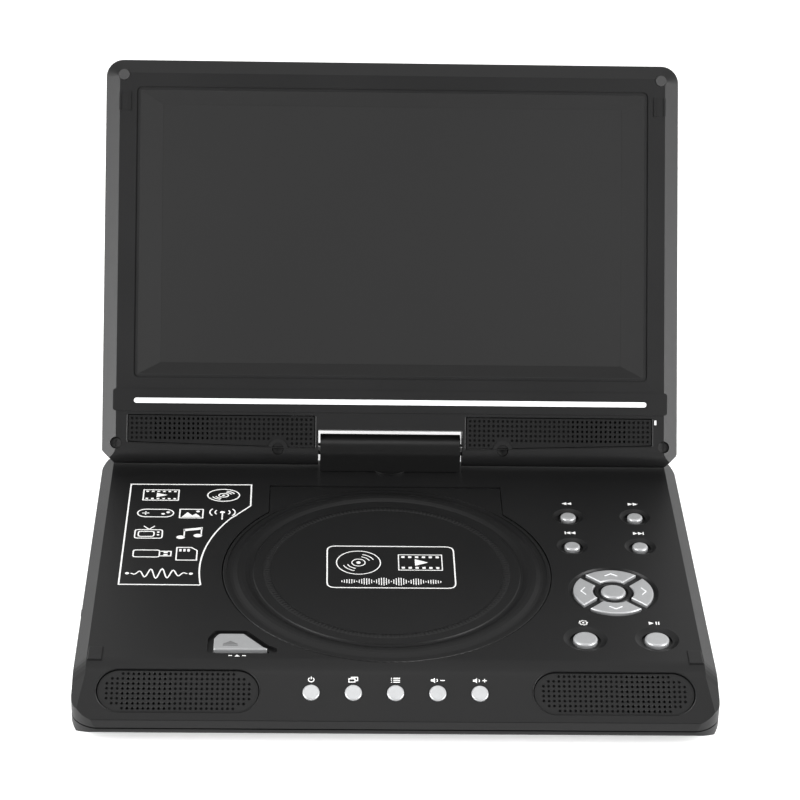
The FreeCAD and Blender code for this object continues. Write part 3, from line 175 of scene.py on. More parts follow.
class Recipe:
    """The nodes of a material or a world. `node` adds any node: its settings first, then the values and links of
    its sockets. `finish` closes a material with a Principled shader."""

    def __init__(self, name, world=None):
        self.holder = world or bpy.data.materials.new(name)
        self.holder.use_nodes = True
        self.tree = self.holder.node_tree
        self.tree.nodes.clear()
        self.object_space = self.node("TexCoord", output="Object")

    def node(self, kind, settings=None, inputs=None, output=0):
        made = self.tree.nodes.new("ShaderNode" + kind)
        for key, value in (settings or {}).items():
            setattr(made, key, value)
        for key, value in (inputs or {}).items():
            if isinstance(value, Value):
                self.tree.links.new(value.socket, made.inputs[key])
            else:
                made.inputs[key].default_value = value
        return Value(self, made.outputs[output]) if made.outputs else None

    def noise(self, size, detail=2.0, roughness=0.5):
        """Cloudy values around 0.5, with lumps of the given size in metres."""
        return self.node("TexNoise", {}, {"Vector": self.object_space, "Scale": 1 / size, "Detail": detail,
                                          "Roughness": roughness})

    def mix(self, share, first, second):
        """Colour going from first to second as share goes from 0 to 1."""
        return self.node("Mix", {"data_type": "RGBA"}, {0: share, 6: colour(first), 7: colour(second)}, 2)

    def bump(self, height, distance):
        return self.node("Bump", {}, {"Height": height, "Distance": distance, "Strength": 1.0})

    def finish(self, **sockets):
        inputs = {key.replace("_", " "): value for key, value in sockets.items()}
        shader = self.node("BsdfPrincipled", {}, inputs)
        self.node("OutputMaterial", {}, {"Surface": shader})
        return self.holder


def colour(value):
    """RGBA from a grey number or an RGB triple; a Value passes through."""
    if isinstance(value, Value):
        return value
    triple = (value, value, value) if isinstance(value, (int, float)) else tuple(value)
    return (*triple, 1.0)


def scaled(tone, factor):
    return tuple(min(1.0, c * factor) for c in tone)


# ---- finishes -----------------------------------------------------------------------------------
def picture_bevel_shade_mask(r):
    """Mask of the painted shade on the screen plastic: 1 inside the rim round the picture and 0 outside it: how far
    the point is across the screen, and how far up it, each against the rim's edges."""
    x, y, z = (r.node("SeparateXYZ", inputs={"Vector": r.object_space}, output=k) for k in "XYZ")
    origin, up = SCREEN.origin * MM, SCREEN.up
    height = (y - origin[1]) * up[1] + (z - origin[2]) * up[2]
    half, low, high = (edge * MM for edge in SCREEN_RIM)
    return (x * x < half * half) * (height > low) * (height < high)


def moulded_cover(name, tone, roughness, grain, specular=0.26, painted_shade=None):
    """Charcoal covers: fine spark-eroded grain, faint cloudiness and slight sheen changes from handling."""
    r = Recipe(name)
    fine = r.noise(grain, 3.0, 0.65)
    coarse = r.noise(grain * 3.2, 2.0)
    cloud = r.noise(0.055, 3.0, 0.55)
    tint = fine * 0.45 + cloud * 0.55
    paint = r.mix(tint, scaled(tone, 0.80), scaled(tone, 1.22))
    rough = roughness - 0.07 + fine * 0.08 + cloud * 0.07
    # painted shade: where the mask is 1 the colour goes to near black to stand for shade, and the surface is
    # rougher
    if painted_shade:
        shade_share = painted_shade(r)
        paint = r.mix(shade_share, paint, scaled(tone, 0.15))
        rough = rough + shade_share * 0.2
    return r.finish(Base_Color=paint, Roughness=rough,
                    Normal=r.bump(fine * 0.65 + coarse * 0.35, 0.000035), Specular_IOR_Level=specular)


def gloss_black():
    """Hinge block: smooth black with a very faint ripple and fine scuffs that change its sheen."""
    r = Recipe("hinge_gloss_black")
    ripple = r.noise(0.006, 2.0)
    scuff = r.noise(0.0009, 5.0, 0.7)
    return r.finish(Base_Color=r.mix(scuff, 0.003, 0.006), Roughness=0.30 + scuff * 0.09,
                    Normal=r.bump(ripple, 0.00006), Specular_IOR_Level=0.25)


def silver_paint(name, tone, roughness=0.36, metal=0.5):
    """Keys and trim: silver paint with fine metal flake under a thin clear coat."""
    r = Recipe(name)
    flake = r.node("TexVoronoi", {"feature": "F1"}, {"Vector": r.object_space, "Scale": 1 / 0.00016}, 1)
    spark = r.node("SeparateColor", {}, {"Color": flake})
    cloud = r.noise(0.004, 2.0)
    tint = spark * 0.55 + cloud * 0.45
    return r.finish(Base_Color=r.mix(tint, scaled(tone, 0.88), scaled(tone, 1.1)), Metallic=metal,
                    Roughness=roughness + spark * 0.10, Normal=r.bump(spark, 0.000006),
                    Coat_Weight=0.25, Coat_Roughness=0.2)


def picture_face():
    """Switched-off picture: neutral dark grey under an anti-glare haze."""
    r = Recipe("anti_glare_picture")
    haze = r.noise(0.0006, 4.0, 0.7)
    drift = r.noise(0.11, 2.0)
    return r.finish(Base_Color=r.mix(drift * 0.7 + haze * 0.3, 0.005, 0.008), Roughness=0.50 + haze * 0.08,
                    Normal=r.bump(haze, 0.00001), Specular_IOR_Level=0.28)


def soft_rubber():
    r = Recipe("soft_rubber")
    skin = r.noise(0.0005, 4.0, 0.7)
    return r.finish(Base_Color=r.mix(skin, 0.012, 0.024), Roughness=0.72 + skin * 0.12,
                    Normal=r.bump(skin, 0.00004))


def brushed_metal(name, tone, roughness):
    """Steel parts and screws: lines drawn out along X by stretching the noise."""
    r = Recipe(name)
    along = r.node("Mapping", {}, {"Vector": r.object_space, "Scale": (60.0, 3000.0, 3000.0)})
    lines = r.node("TexNoise", {}, {"Vector": along, "Scale": 1.0, "Detail": 3.0})
    return r.finish(Base_Color=r.mix(lines, scaled((tone,) * 3, 0.8), scaled((tone,) * 3, 1.1)), Metallic=1.0,
                    Roughness=roughness + lines * 0.14, Normal=r.bump(lines, 0.00001))


def inner_moulding():
    r = Recipe("inner_moulding")
    skin = r.noise(0.0007, 3.0, 0.6)
    cloud = r.noise(0.03, 2.0)
    return r.finish(Base_Color=r.mix(cloud, 0.018, 0.030), Roughness=0.5 + skin * 0.15,
                    Normal=r.bump(skin, 0.00003))


def printed_ink(tone):
    """Pad-printed ink: off-white, a little uneven and thin at places."""
    r = Recipe("printed_ink")
    patchy = r.noise(0.0012, 3.0, 0.6)
    return r.finish(Base_Color=r.mix(patchy, scaled(tone, 0.88), tone), Roughness=0.42 + patchy * 0.12)


def hole_shade():
    """Inside of the speaker holes: dark cloth behind the deep holes, painted shade in the blind dimples."""
    r = Recipe("speaker_cloth_and_painted_shade")
    weave = r.noise(0.0003, 2.0)
    return r.finish(Base_Color=r.mix(weave, 0.0015, 0.004), Roughness=0.95, Specular_IOR_Level=0.1)


def circuit_board():
    """Solder mask: green with lighter tracks where a stretched cell pattern crosses a threshold."""
    r = Recipe("circuit_board")
    cells = r.node("TexVoronoi", {"feature": "DISTANCE_TO_EDGE"}, {"Vector": r.object_space, "Scale": 260.0})
    track = cells > 0.12
    sheen = r.noise(0.002, 2.0)
    return r.finish(Base_Color=r.mix(track, (0.012, 0.10, 0.05), (0.006, 0.055, 0.028)),
                    Roughness=0.30 + sheen * 0.12, Normal=r.bump(track, 0.00003))


def chip_epoxy():
    r = Recipe("chip_epoxy")
    speck = r.noise(0.0003, 3.0)
    return r.finish(Base_Color=r.mix(speck, 0.010, 0.022), Roughness=0.55 + speck * 0.15,
                    Normal=r.bump(speck, 0.00002))


def battery_sleeve():
    r = Recipe("battery_sleeve")
    crease = r.noise(0.005, 4.0, 0.6)
    return r.finish(Base_Color=r.mix(crease, (0.02, 0.10, 0.30), (0.03, 0.14, 0.38)),
                    Roughness=0.22 + crease * 0.12, Normal=r.bump(crease, 0.0001))


def lamp_lens():
    r = Recipe("lamp_lens")
    milk = r.noise(0.0006, 2.0)
    return r.finish(Base_Color=r.mix(milk, 0.55, 0.75), Roughness=0.25 + milk * 0.1)


def floor_paint(tone, glow):
    r = Recipe("studio_floor")
    wash = r.noise(0.4, 2.0)
    return r.finish(Base_Color=r.mix(wash, scaled(tone, 0.985), tone), Roughness=0.75 + wash * 0.05,
                    Emission_Color=colour(1), Emission_Strength=glow)


def dress(finish, *nodes):
    """Gives CAD nodes one finish, in place of the plain one they were packed with."""
    for name in nodes:
        mesh = frame["nodes"][name].data
        mesh.materials.clear()
        mesh.materials.append(finish)


# ---- surfaces -----------------------------------------------------------------------------------
class Facing:
    """A flat working plane. A point (u, v) and a height h lie at origin + u right + v up + h outward."""

    def __init__(self, origin, right, up):
        self.origin = np.array(origin, float)
        self.right = np.array(right, float)
        self.up = np.array(up, float)
        self.out = np.cross(self.right, self.up)

    def place(self, uv, height):
        uv = np.asarray(uv, float)
        height = np.broadcast_to(np.asarray(height, float), uv.shape[:-1])
        flat = uv[..., :1] * self.right + uv[..., 1:2] * self.up
        return self.origin + flat + height[..., None] * self.out


def tilted(origin, degrees_from_level):
    """A working plane through origin whose up direction climbs at the given angle towards the rear."""
    a = math.radians(degrees_from_level)
    return Facing(origin, (1, 0, 0), (0, math.cos(a), math.sin(a)))


DECK = tilted((0, 0, DECK_Z), 0)
SLOPE_DEG = math.degrees(math.asin(JOINTS["power_press"]["axis"][1]))
SLOPE = tilted((0, CREASE_Y, DECK_Z), SLOPE_DEG)
TILT_AXIS = [c / MM for c in JOINTS["screen_tilt"]["pos_m"]]
SCREEN = tilted(TILT_AXIS, 90 - LEAN_DEG)
SCREEN_RIM = (108.9, 31.4, 153.9)   # the bevel round the picture, where painted shade goes: half its width, its lower and upper edge


class Build:
    """Collects grids, prisms and fans of points in millimetres, and makes them one mesh."""

    def __init__(self):
        self.points = []
        self.faces = []
        self.slots = []
        self.count = 0

    def add(self, points, faces):
        """Faces is an array of point numbers within these points, one row per face."""
        points = np.asarray(points, float).reshape(-1, 3)
        rows = (np.asarray(faces) + self.count).tolist()
        self.points.append(points)
        self.faces += rows
        self.slots += [0] * len(rows)
        self.count += len(points)

    def grid(self, points, wrap_u=False, wrap_v=False):
        """A surface: points[i, j] joined to its neighbours by quads, closed on itself where it wraps."""
        nu, nv = points.shape[:2]
        i = np.arange(nu if wrap_u else nu - 1)[:, None]
        j = np.arange(nv if wrap_v else nv - 1)[None, :]
        i2, j2 = (i + 1) % nu, (j + 1) % nv
        quads = np.stack([i * nv + j, i2 * nv + j, i2 * nv + j2, i * nv + j2], axis=-1).reshape(-1, 4)
        self.add(points, quads)

    def prism(self, plane, outline, low, high):
        """A flat shape with straight walls: its outline, anticlockwise, at two heights, and two caps."""
        outline = np.asarray(outline, float)
        n = len(outline)
        points = np.concatenate([plane.place(outline, low), plane.place(outline, high)])
        k = np.arange(n)
        self.add(points, np.stack([k, (k + 1) % n, (k + 1) % n + n, k + n], axis=-1))
        base = self.count - 2 * n
        self.faces += [(base + k[::-1]).tolist(), (base + n + k).tolist()]
        self.slots += [0, 0]

    def sweep(self, plane, path, section, closed=False):
        """A section of (sideways, height) points carried along a flat path. At each point it stands on the mean
        of the two neighbouring directions, and is widened at corners so that the line keeps its width."""
        path = np.asarray(path, float)
        before = np.roll(path, 1, axis=0)
        after = np.roll(path, -1, axis=0)
        if not closed:
            before[0] = 2 * path[0] - path[1]
            after[-1] = 2 * path[-1] - path[-2]
        come, go = unit(path - before), unit(after - path)
        side = unit(turn_left(come) + turn_left(go))
        side = side / np.clip(np.sum(side * turn_left(come), axis=1), 0.4, 1)[:, None]
        ring = np.stack([plane.place(path + side * across, height) for across, height in section], axis=1)
        self.grid(ring, wrap_u=closed, wrap_v=True)
        if not closed:
            k = len(section)
            first, last = self.count - len(path) * k, self.count - k
            self.faces += [[first + i for i in range(k)][::-1], [last + i for i in range(k)]]
            self.slots += [0, 0]

    def stroke(self, plane, path, width, low, high, closed=False):
        half = width / 2
        self.sweep(plane, path, [(-half, low), (-half, high), (half, high), (half, low)], closed)

    def bead(self, plane, path, radius, height):
        """A rounded lip along a closed path."""
        a = np.radians(np.arange(0, 360, 45))
        section = [(-radius * math.cos(t), height + radius * math.sin(t)) for t in a]
        self.sweep(plane, path, section, closed=True)

    def piece(self, name, body, materials, record_slot, smooth=False):
        points = np.concatenate(self.points) * MM
        mesh = bpy.data.meshes.new(name)
        mesh.from_pydata(points.tolist(), [], self.faces)
        mesh.polygons.foreach_set("material_index", np.array(self.slots, np.int32))
        mesh.polygons.foreach_set("use_smooth", np.full(len(self.faces), smooth))
        for material in materials:
            mesh.materials.append(material)
        mesh.update()
        made = bpy.data.objects.new(name, mesh)
        bpy.context.scene.collection.objects.link(made)
        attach(made, body)
        return made


def unit(vectors):
    return vectors / np.maximum(np.linalg.norm(vectors, axis=-1, keepdims=True), 1e-9)


def turn_left(vectors):
    return np.stack([-vectors[..., 1], vectors[..., 0]], axis=-1)


def arc(cx, cy, radius, start, stop, count=24):
    """Points on a circle from the start angle to the stop angle, in degrees anticlockwise from right."""
    a = np.radians(np.linspace(start, stop, count))
    return np.stack([cx + radius * np.cos(a), cy + radius * np.sin(a)], axis=-1)


def circle(cx, cy, radius, count=32):
    return arc(cx, cy, radius, 0, 360, count + 1)[:-1]


def rounded(corners, radius, count=5):
    """A closed outline of straight runs with each corner replaced by a short quadratic bend, which leaves
    and meets the runs at the given distance from the corner."""
    corners = np.asarray(corners, float)
    before = unit(np.roll(corners, 1, axis=0) - corners)
    after = unit(np.roll(corners, -1, axis=0) - corners)
    start, stop = corners + before * radius, corners + after * radius
    t = np.linspace(0, 1, count)[None, :, None]
    bend = (1 - t) ** 2 * start[:, None] + 2 * t * (1 - t) * corners[:, None] + t ** 2 * stop[:, None]
    return bend.reshape(-1, 2)


def hole_cells(build, plane, centres, deep, height, holes):
    """Square cells with a round hole each. The square's edge is the circle's direction divided by the larger of
    its two parts, which puts it on the square; the hole is three rings going in, and a dark floor: cloth in the
    deep holes over the speaker, and painted shade in the shallow dimples elsewhere."""
    a = np.radians(np.arange(0, 360, 22.5))
    direction = np.stack([np.cos(a), np.sin(a)], axis=-1)
    square = direction / np.abs(direction).max(axis=1, keepdims=True)
    half = np.array([holes.pitch / MM / 2, holes.row / MM / 2])
    radius, depth = holes.radius / MM, holes.depth / MM
    deep_rings = [(square * half, 0.0), (direction * (radius + 0.1), 0.0), (direction * radius, -0.1),
                  (direction * radius * 0.9, -depth)]
    shallow_rings = [(square * half, 0.0), (direction * (radius + 0.06), 0.0), (direction * radius * 0.92, -0.2),
                     (direction * radius * 0.8, -0.36)]
    for kind, rings in ((deep, deep_rings), (~deep, shallow_rings)):
        flat = np.stack([centres[kind][:, None, :] + ring for ring, _ in rings], axis=1)
        level = np.array([height + drop for _, drop in rings])[None, :, None]
        points = plane.place(flat, np.broadcast_to(level, flat.shape[:-1]))
        n, r, k = flat.shape[:3]
        cell = (np.arange(n) * r * k)[:, None, None]
        ring = (np.arange(r - 1) * k)[None, :, None]
        step = np.arange(k)[None, None, :]
        following = (step + 1) % k
        quads = np.stack([cell + ring + step, cell + ring + k + step, cell + ring + k + following,
                          cell + ring + following], axis=-1).reshape(-1, 4)
        build.add(points, quads)
        # the dark floor: cloth under the deep holes, painted shade in the shallow dimples
        floors = build.count - n * r * k + cell[:, :, 0] + (r - 1) * k + step[0]
        build.faces += floors.tolist()
        build.slots += [CLOTH_AND_SHADE_SLOT] * n


def panel_rows(build, plane, height, holes, rows, columns, left, right, keep, is_deep):
    """The flat panel, one row of cells at a time: cells that fit between the outline's left and right edges
    over the row's height, then a strip from each end of the row to the outline, which follows its curve."""
    half_u, half_v = holes.pitch / MM / 2, holes.row / MM / 2
    centres = []
    for v in rows:
        levels = np.linspace(v - half_v, v + half_v, 7)
        low, high = left(levels).max() + 0.3, right(levels).min() - 0.3
        row = columns[(columns - half_u >= low) & (columns + half_u <= high)]
        held = keep(row, v)
        centres += [(u, v) for u in row[held]]
        for u in row[~held]:
            plain = [(u - half_u, v - half_v), (u + half_u, v - half_v), (u + half_u, v + half_v),
                     (u - half_u, v + half_v)]
            build.add(plane.place(plain, height), [[0, 1, 2, 3]])
        ends = [(left(levels), np.full(7, row[0] - half_u)), (np.full(7, row[-1] + half_u), right(levels))]
        for inner, outer in ends:
            strip(build, plane, height, inner, outer, levels)
    centres = np.array(centres)
    hole_cells(build, plane, centres, is_deep(centres), height, holes)


def strip(build, plane, height, start, stop, levels):
    """A flat band between two edges that are given at the same levels."""
    grid = np.stack([np.stack([start, levels], axis=-1), np.stack([stop, levels], axis=-1)], axis=0)
    build.grid(plane.place(grid, height))


def rim(build, plane, outline, height):
    """The panel's rounded edge and side wall, going outward and down from its outline."""
    outward = -unit(turn_left(np.roll(outline, -1, axis=0) - np.roll(outline, 1, axis=0)))
    steps = [(0.0, 0.0), (0.08, -0.03), (0.15, -0.12), (0.15, -1.3)]
    grid = np.stack([plane.place(outline + outward * run, height + drop) for run, drop in steps], axis=1)
    build.grid(grid[:, ::-1][::-1], wrap_u=True)


def base_grille(side, plastic, shade, holes):
    """Stadium-shaped panel on the sloping front: half a row's length is the straight half plus the height of the
    end circle at that row."""
    r, length, height = BASE_GRILLE_R - 0.42, BASE_GRILLE_LENGTH - 0.84, -BASE_GRILLE_SINK
    straight = length / 2 - r
    plane = Facing(SLOPE.place(np.array([side * BASE_GRILLE_X, -BASE_GRILLE_D]), 0.0), SLOPE.right, SLOPE.up)

    def half(v):
        return straight + np.sqrt(np.clip(r * r - v * v, 0, None))

    row = holes.row / MM
    rows = (np.arange(8) - 3.5) * row
    columns = (np.arange(30) - 14.5) * holes.pitch / MM
    build = Build()
    across, up, cone_r = BASE_SPEAKER
    cone = np.array([side * across, up])
    panel_rows(build, plane, height, holes, rows, columns, lambda v: -half(v), half,
               lambda u, v: np.full(len(u), True), lambda c: np.hypot(*(c - cone).T) < cone_r)
    for sign in (-1, 1):
        a = np.linspace(math.asin(4 * row / r), math.pi / 2, 9)
        levels = sign * r * np.sin(a)
        levels = levels if sign > 0 else levels[::-1]
        strip(build, plane, height, -half(levels), half(levels), levels)
    outline = np.concatenate([arc(straight, 0, r, -90, 90, 29), arc(-straight, 0, r, 90, 270, 29)])
    rim(build, plane, outline, height)
    lip = np.concatenate([arc(straight, 0, r + LIP_OUT, -90, 90, 29), arc(-straight, 0, r + LIP_OUT, 90, 270, 29)])
    build.bead(plane, lip, LIP_R, -0.08)
    name = "base_grille_right" if side > 0 else "base_grille_left"
    return build.piece(name, "base", [plastic, shade], "grille_black")


def screen_grille(side, plastic, shade, holes):
    """Panel beside the hinge: level top, and a lower edge that climbs outwards. Cells near the screw stay plain."""
    inner, outer, low_in, low_out, top = DISPLAY_GRILLE
    inner, outer, top, height = inner + 0.45, outer - 0.45, top - 0.45, FACE - 0.35
    low_in, low_out = low_in + 0.45, low_out + 0.45
    slope = (low_out - low_in) / (outer - inner)
    row, pitch = holes.row / MM, holes.pitch / MM
    rows = top - 0.25 - row * (np.arange(6) + 0.5)
    columns = inner + 0.5 + pitch * (np.arange(40) + 0.5)

    def near(v):
        return np.full(np.shape(v), inner)

    def far(v):
        return np.minimum(outer, inner + (np.asarray(v) - low_in) / slope)

    def keep(u, v):
        return np.hypot(u - OPEN_SCREW[0], v - OPEN_SCREW[1]) > SCREW_CLEAR

    plane = SCREEN if side > 0 else Facing(SCREEN.origin, -SCREEN.right, SCREEN.up)
    if side < 0:
        plane.out = SCREEN.out
    build = Build()
    panel_rows(build, plane, height, holes, rows, columns, near, far, keep,
               lambda c: (c[:, 0] > SCREEN_SPEAKER[0]) & (c[:, 0] < SCREEN_SPEAKER[1]))
    above = np.array([rows[0] + row / 2, top])
    below = np.linspace(low_in, rows[-1] - row / 2, 4)
    for levels in (above, below):
        strip(build, plane, height, near(levels), far(levels), levels)
    corners = [(inner, low_in), (outer, low_out), (outer, top), (inner, top)]
    rim(build, plane, rounded(corners, 0.02, 2), height)
    lip = [(inner - 0.6, low_in - 0.55), (outer + 0.6, low_out - 0.55), (outer + 0.6, top + 0.6),
           (inner - 0.6, top + 0.6)]
    build.bead(plane, rounded(lip, 0.9), 0.2, FACE - 0.03)
    if side < 0:
        build.faces = [face[::-1] for face in build.faces]
    name = "screen_grille_right" if side > 0 else "screen_grille_left"
    return build.piece(name, "screen", [plastic, shade], "grille_black")


# ---- printed marks ------------------------------------------------------------------------------
class Print:
    """Marks printed on a working plane. `at` moves and sizes the marks that follow; an icon is drawn in a box
    from -1 to 1."""

    def __init__(self, plane, height=0.0, width=0.5, thickness=0.035):
        self.plane = plane
        self.build = Build()
        self.low, self.high = height - 0.02, height + thickness
        self.width = width
        self.at(0, 0)

    def at(self, x, y, size=1.0, stretch=1.0):
        self.shift = np.array([x, y], float)
        self.size = np.array([size * stretch, size], float)
        return self

    def _spot(self, points):
        return np.asarray(points, float) * self.size + self.shift

    def line(self, points, closed=False, width=None):
        self.build.stroke(self.plane, self._spot(points), width or self.width, self.low, self.high, closed)

    def patch(self, points):
        self.build.prism(self.plane, self._spot(points), self.low, self.high)

    def ring(self, x, y, radius, width=None):
        self.line(circle(x, y, radius), closed=True, width=width)

    def spot(self, x, y, radius):
        self.patch(circle(x, y, radius, 20))


def disc_icon(p):
    """A disc seen flat on: rim, two tracks broken by a glint, and a hub."""
    p.ring(0, 0, 1.0)
    p.ring(0, 0, 0.3)
    for start in (20, 200):
        p.line(arc(0, 0, 0.72, start, start + 55, 10))
        p.line(arc(0, 0, 0.52, start, start + 55, 8))
    p.spot(0, 0, 0.1)


def film_icon(p):
    """A strip of film: frame, two rows of holes and a triangle."""
    p.line([(-1.2, -0.8), (1.2, -0.8), (1.2, 0.8), (-1.2, 0.8)], closed=True)
    for x in np.linspace(-0.95, 0.95, 6):
        for y in (-0.56, 0.56):
            p.patch([(x - 0.09, y - 0.09), (x + 0.09, y - 0.09), (x + 0.09, y + 0.09), (x - 0.09, y + 0.09)])
    p.patch([(-0.3, -0.34), (0.42, 0), (-0.3, 0.34)])


def pad_icon(p):
    """A game pad: rounded body, cross and two dots."""
    body = np.concatenate([arc(0.75, 0, 0.62, -90, 90, 12), arc(-0.75, 0, 0.62, 90, 270, 12)])
    p.line(body, closed=True)
    p.line([(-1.02, 0), (-0.48, 0)])
    p.line([(-0.75, -0.27), (-0.75, 0.27)])
    p.spot(0.58, -0.12, 0.14)
    p.spot(0.95, 0.14, 0.14)


def picture_icon(p):
    """A framed picture: hills and a sun."""
    p.line([(-1.1, -0.8), (1.1, -0.8), (1.1, 0.8), (-1.1, 0.8)], closed=True)
    p.patch([(-0.9, -0.62), (0.9, -0.62), (0.45, 0.0), (0.1, -0.35), (-0.35, 0.25)])
    p.spot(0.62, 0.42, 0.17)


def radio_icon(p):
    """A mast with waves going out on both sides."""
    p.line([(0, -0.9), (0, 0.1)])
    p.spot(0, 0.25, 0.17)
    for radius in (0.5, 0.85):
        p.line(arc(0, 0.25, radius, -38, 38, 9))
        p.line(arc(0, 0.25, radius, 142, 218, 9))


def set_icon(p):
    """A television set with two rods."""
    p.line(rounded([(-1, -0.8), (1, -0.8), (1, 0.45), (-1, 0.45)], 0.2, 3), closed=True)
    p.line([(-0.4, 1.0), (0, 0.5), (0.4, 1.0)])
    p.line(rounded([(-0.75, -0.55), (0.4, -0.55), (0.4, 0.2), (-0.75, 0.2)], 0.2, 3), closed=True)
    p.spot(0.7, 0.1, 0.1)
    p.spot(0.7, -0.3, 0.1)


def note_icon(p):
    """Two joined notes."""
    p.patch([(-0.62, 0.55), (0.72, 0.85), (0.72, 0.55), (-0.62, 0.25)])
    p.line([(-0.55, -0.55), (-0.55, 0.5)])
    p.line([(0.65, -0.3), (0.65, 0.75)])
    for x, y in ((-0.78, -0.6), (0.42, -0.35)):
        p.patch(circle(0, 0, 0.24, 16) * (1.25, 1) + (x, y))


def stick_icon(p):
    """A memory stick: body, plug and two contacts."""
    p.line(rounded([(-1.1, -0.42), (0.5, -0.42), (0.5, 0.42), (-1.1, 0.42)], 0.15, 3), closed=True)
    p.line([(0.5, -0.28), (1.2, -0.28), (1.2, 0.28), (0.5, 0.28)])
    for y in (-0.13, 0.13):
        p.patch([(0.75, y - 0.07), (1.0, y - 0.07), (1.0, y + 0.07), (0.75, y + 0.07)])


def card_icon(p):
    """A memory card with a cut corner and its contacts."""
    p.line([(-0.7, -0.95), (0.7, -0.95), (0.7, 0.5), (0.3, 0.95), (-0.7, 0.95)], closed=True)
    for x in (-0.45, -0.17, 0.11):
        p.patch([(x - 0.08, 0.35), (x + 0.08, 0.35), (x + 0.08, 0.72), (x - 0.08, 0.72)])


def wave_line(p):
    """A sound wave: height is a sine whose size swells and dies along the line."""
    x = np.linspace(-1, 1, 61)
    p.line(np.stack([x, 0.32 * np.cos(x * math.pi / 2) * np.sin(x * math.pi * 5)], axis=-1))
    for end in (-1.12, 1.12):
        p.spot(end, 0, 0.07)


def panel_outline():
    """Edge of the printed panel: straight runs, and an arc that keeps clear of the round lid."""
    corner = [(-110.8, -15.2), (-78.3, -15.3)]
    curve = arc(LID_X, LID_Y, 76.2, 189, 147.5, 20)
    rest = [(-66.4, 38.2), (-59.3, 47.6), (-59.4, 65.2), (-110.7, 64.9)]
    return np.concatenate([corner, curve, rest])


def triangles(p, direction, count, bar=False):
    """Skip and wind signs: triangles pointing one way, and a bar at their points where there is one."""
    for k in range(count):
        x = (k - (count - 1) / 2) * 0.95
        tip, tail = x + 0.45 * direction, x - 0.45 * direction
        shape = [(tail, -0.5), (tip, 0), (tail, 0.5)]
        p.patch(shape if direction > 0 else shape[::-1])
    if bar:
        edge = direction * (count / 2 * 0.95 + 0.06)
        p.patch([(edge - 0.1, -0.5), (edge + 0.1, -0.5), (edge + 0.1, 0.5), (edge - 0.1, 0.5)])


def play_pause_sign(p):
    p.patch([(-1.0, -0.5), (-0.1, 0), (-1.0, 0.5)])
    for x in (0.35, 0.8):
        p.patch([(x - 0.11, -0.5), (x + 0.11, -0.5), (x + 0.11, 0.5), (x - 0.11, 0.5)])


def gear_sign(p):
    """Setup: a ring with teeth. The radius is a square-edged wave of the angle."""
    a = np.radians(np.arange(0, 360, 7.5))
    radius = np.where(np.sin(8 * a + 0.01) > 0, 0.78, 0.58)
    p.line(np.stack([radius * np.cos(a), radius * np.sin(a)], axis=-1), closed=True, width=0.28)
    p.spot(0, 0, 0.2)


def power_sign(p):
    p.line(arc(0, 0, 0.62, 125, 415, 20))
    p.line([(0, 0.1), (0, 0.85)])


def mode_sign(p):
    """Two frames, one behind the other."""
    p.line([(-1.0, -0.6), (0.35, -0.6), (0.35, 0.3), (-1.0, 0.3)], closed=True)
    p.line([(-0.45, 0.42), (-0.45, 0.75), (0.95, 0.75), (0.95, -0.2), (0.48, -0.2)])


def menu_sign(p):
    for y in (-0.55, 0, 0.55):
        p.line([(-0.5, y), (1.0, y)])
        p.spot(-0.9, y, 0.13)


def volume_sign(p, plus):
    """A loudspeaker, with a minus or a plus sign beside it."""
    p.patch([(-1.5, -0.28), (-1.1, -0.28), (-0.6, -0.7), (-0.6, 0.7), (-1.1, 0.28), (-1.5, 0.28)])
    p.line(arc(-0.55, 0, 0.5, -45, 45, 7))
    p.line([(0.6, 0), (1.6, 0)])
    if plus:
        p.line([(1.1, -0.5), (1.1, 0.5)])


def eject_sign(p):
    p.patch([(-0.8, -0.15), (0.8, -0.15), (0, 0.75)])
    p.patch([(-0.8, -0.62), (0.8, -0.62), (0.8, -0.36), (-0.8, -0.36)])


def middle(node):
    low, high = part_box(node)
    return (low + high) / 2 / MM


def top_of(node):
    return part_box(node)[1].z / MM


# ---- operators ----------------------------------------------------------------------------------
class PLAYER_OT_covers(Operator):
    """Finishes the covers of the base and the screen, the lid and the hinge block"""
    bl_idname = "player.covers"
    bl_label = "Covers"

    def execute(self, context):
        shell = context.scene.player_shell
        tone = tuple(shell.tone)
        dress(moulded_cover("base_plastic", tone, shell.roughness, shell.grain), "base_top_cover",
              "base_bottom_cover", "power_switch")
        dress(moulded_cover("lid_plastic", scaled(tone, 0.94), shell.roughness - 0.02, shell.grain), "disc_lid")
        # the bevel round the picture on the screen plastic gets painted shade
        dress(moulded_cover("screen_plastic", scaled(tone, 1.3), shell.roughness - 0.02, shell.grain, 0.32,
                            picture_bevel_shade_mask), "display_bezel", "display_back_cover")
        dress(gloss_black(), "hinge_cover_front", "hinge_cover_rear")
        return {"FINISHED"}


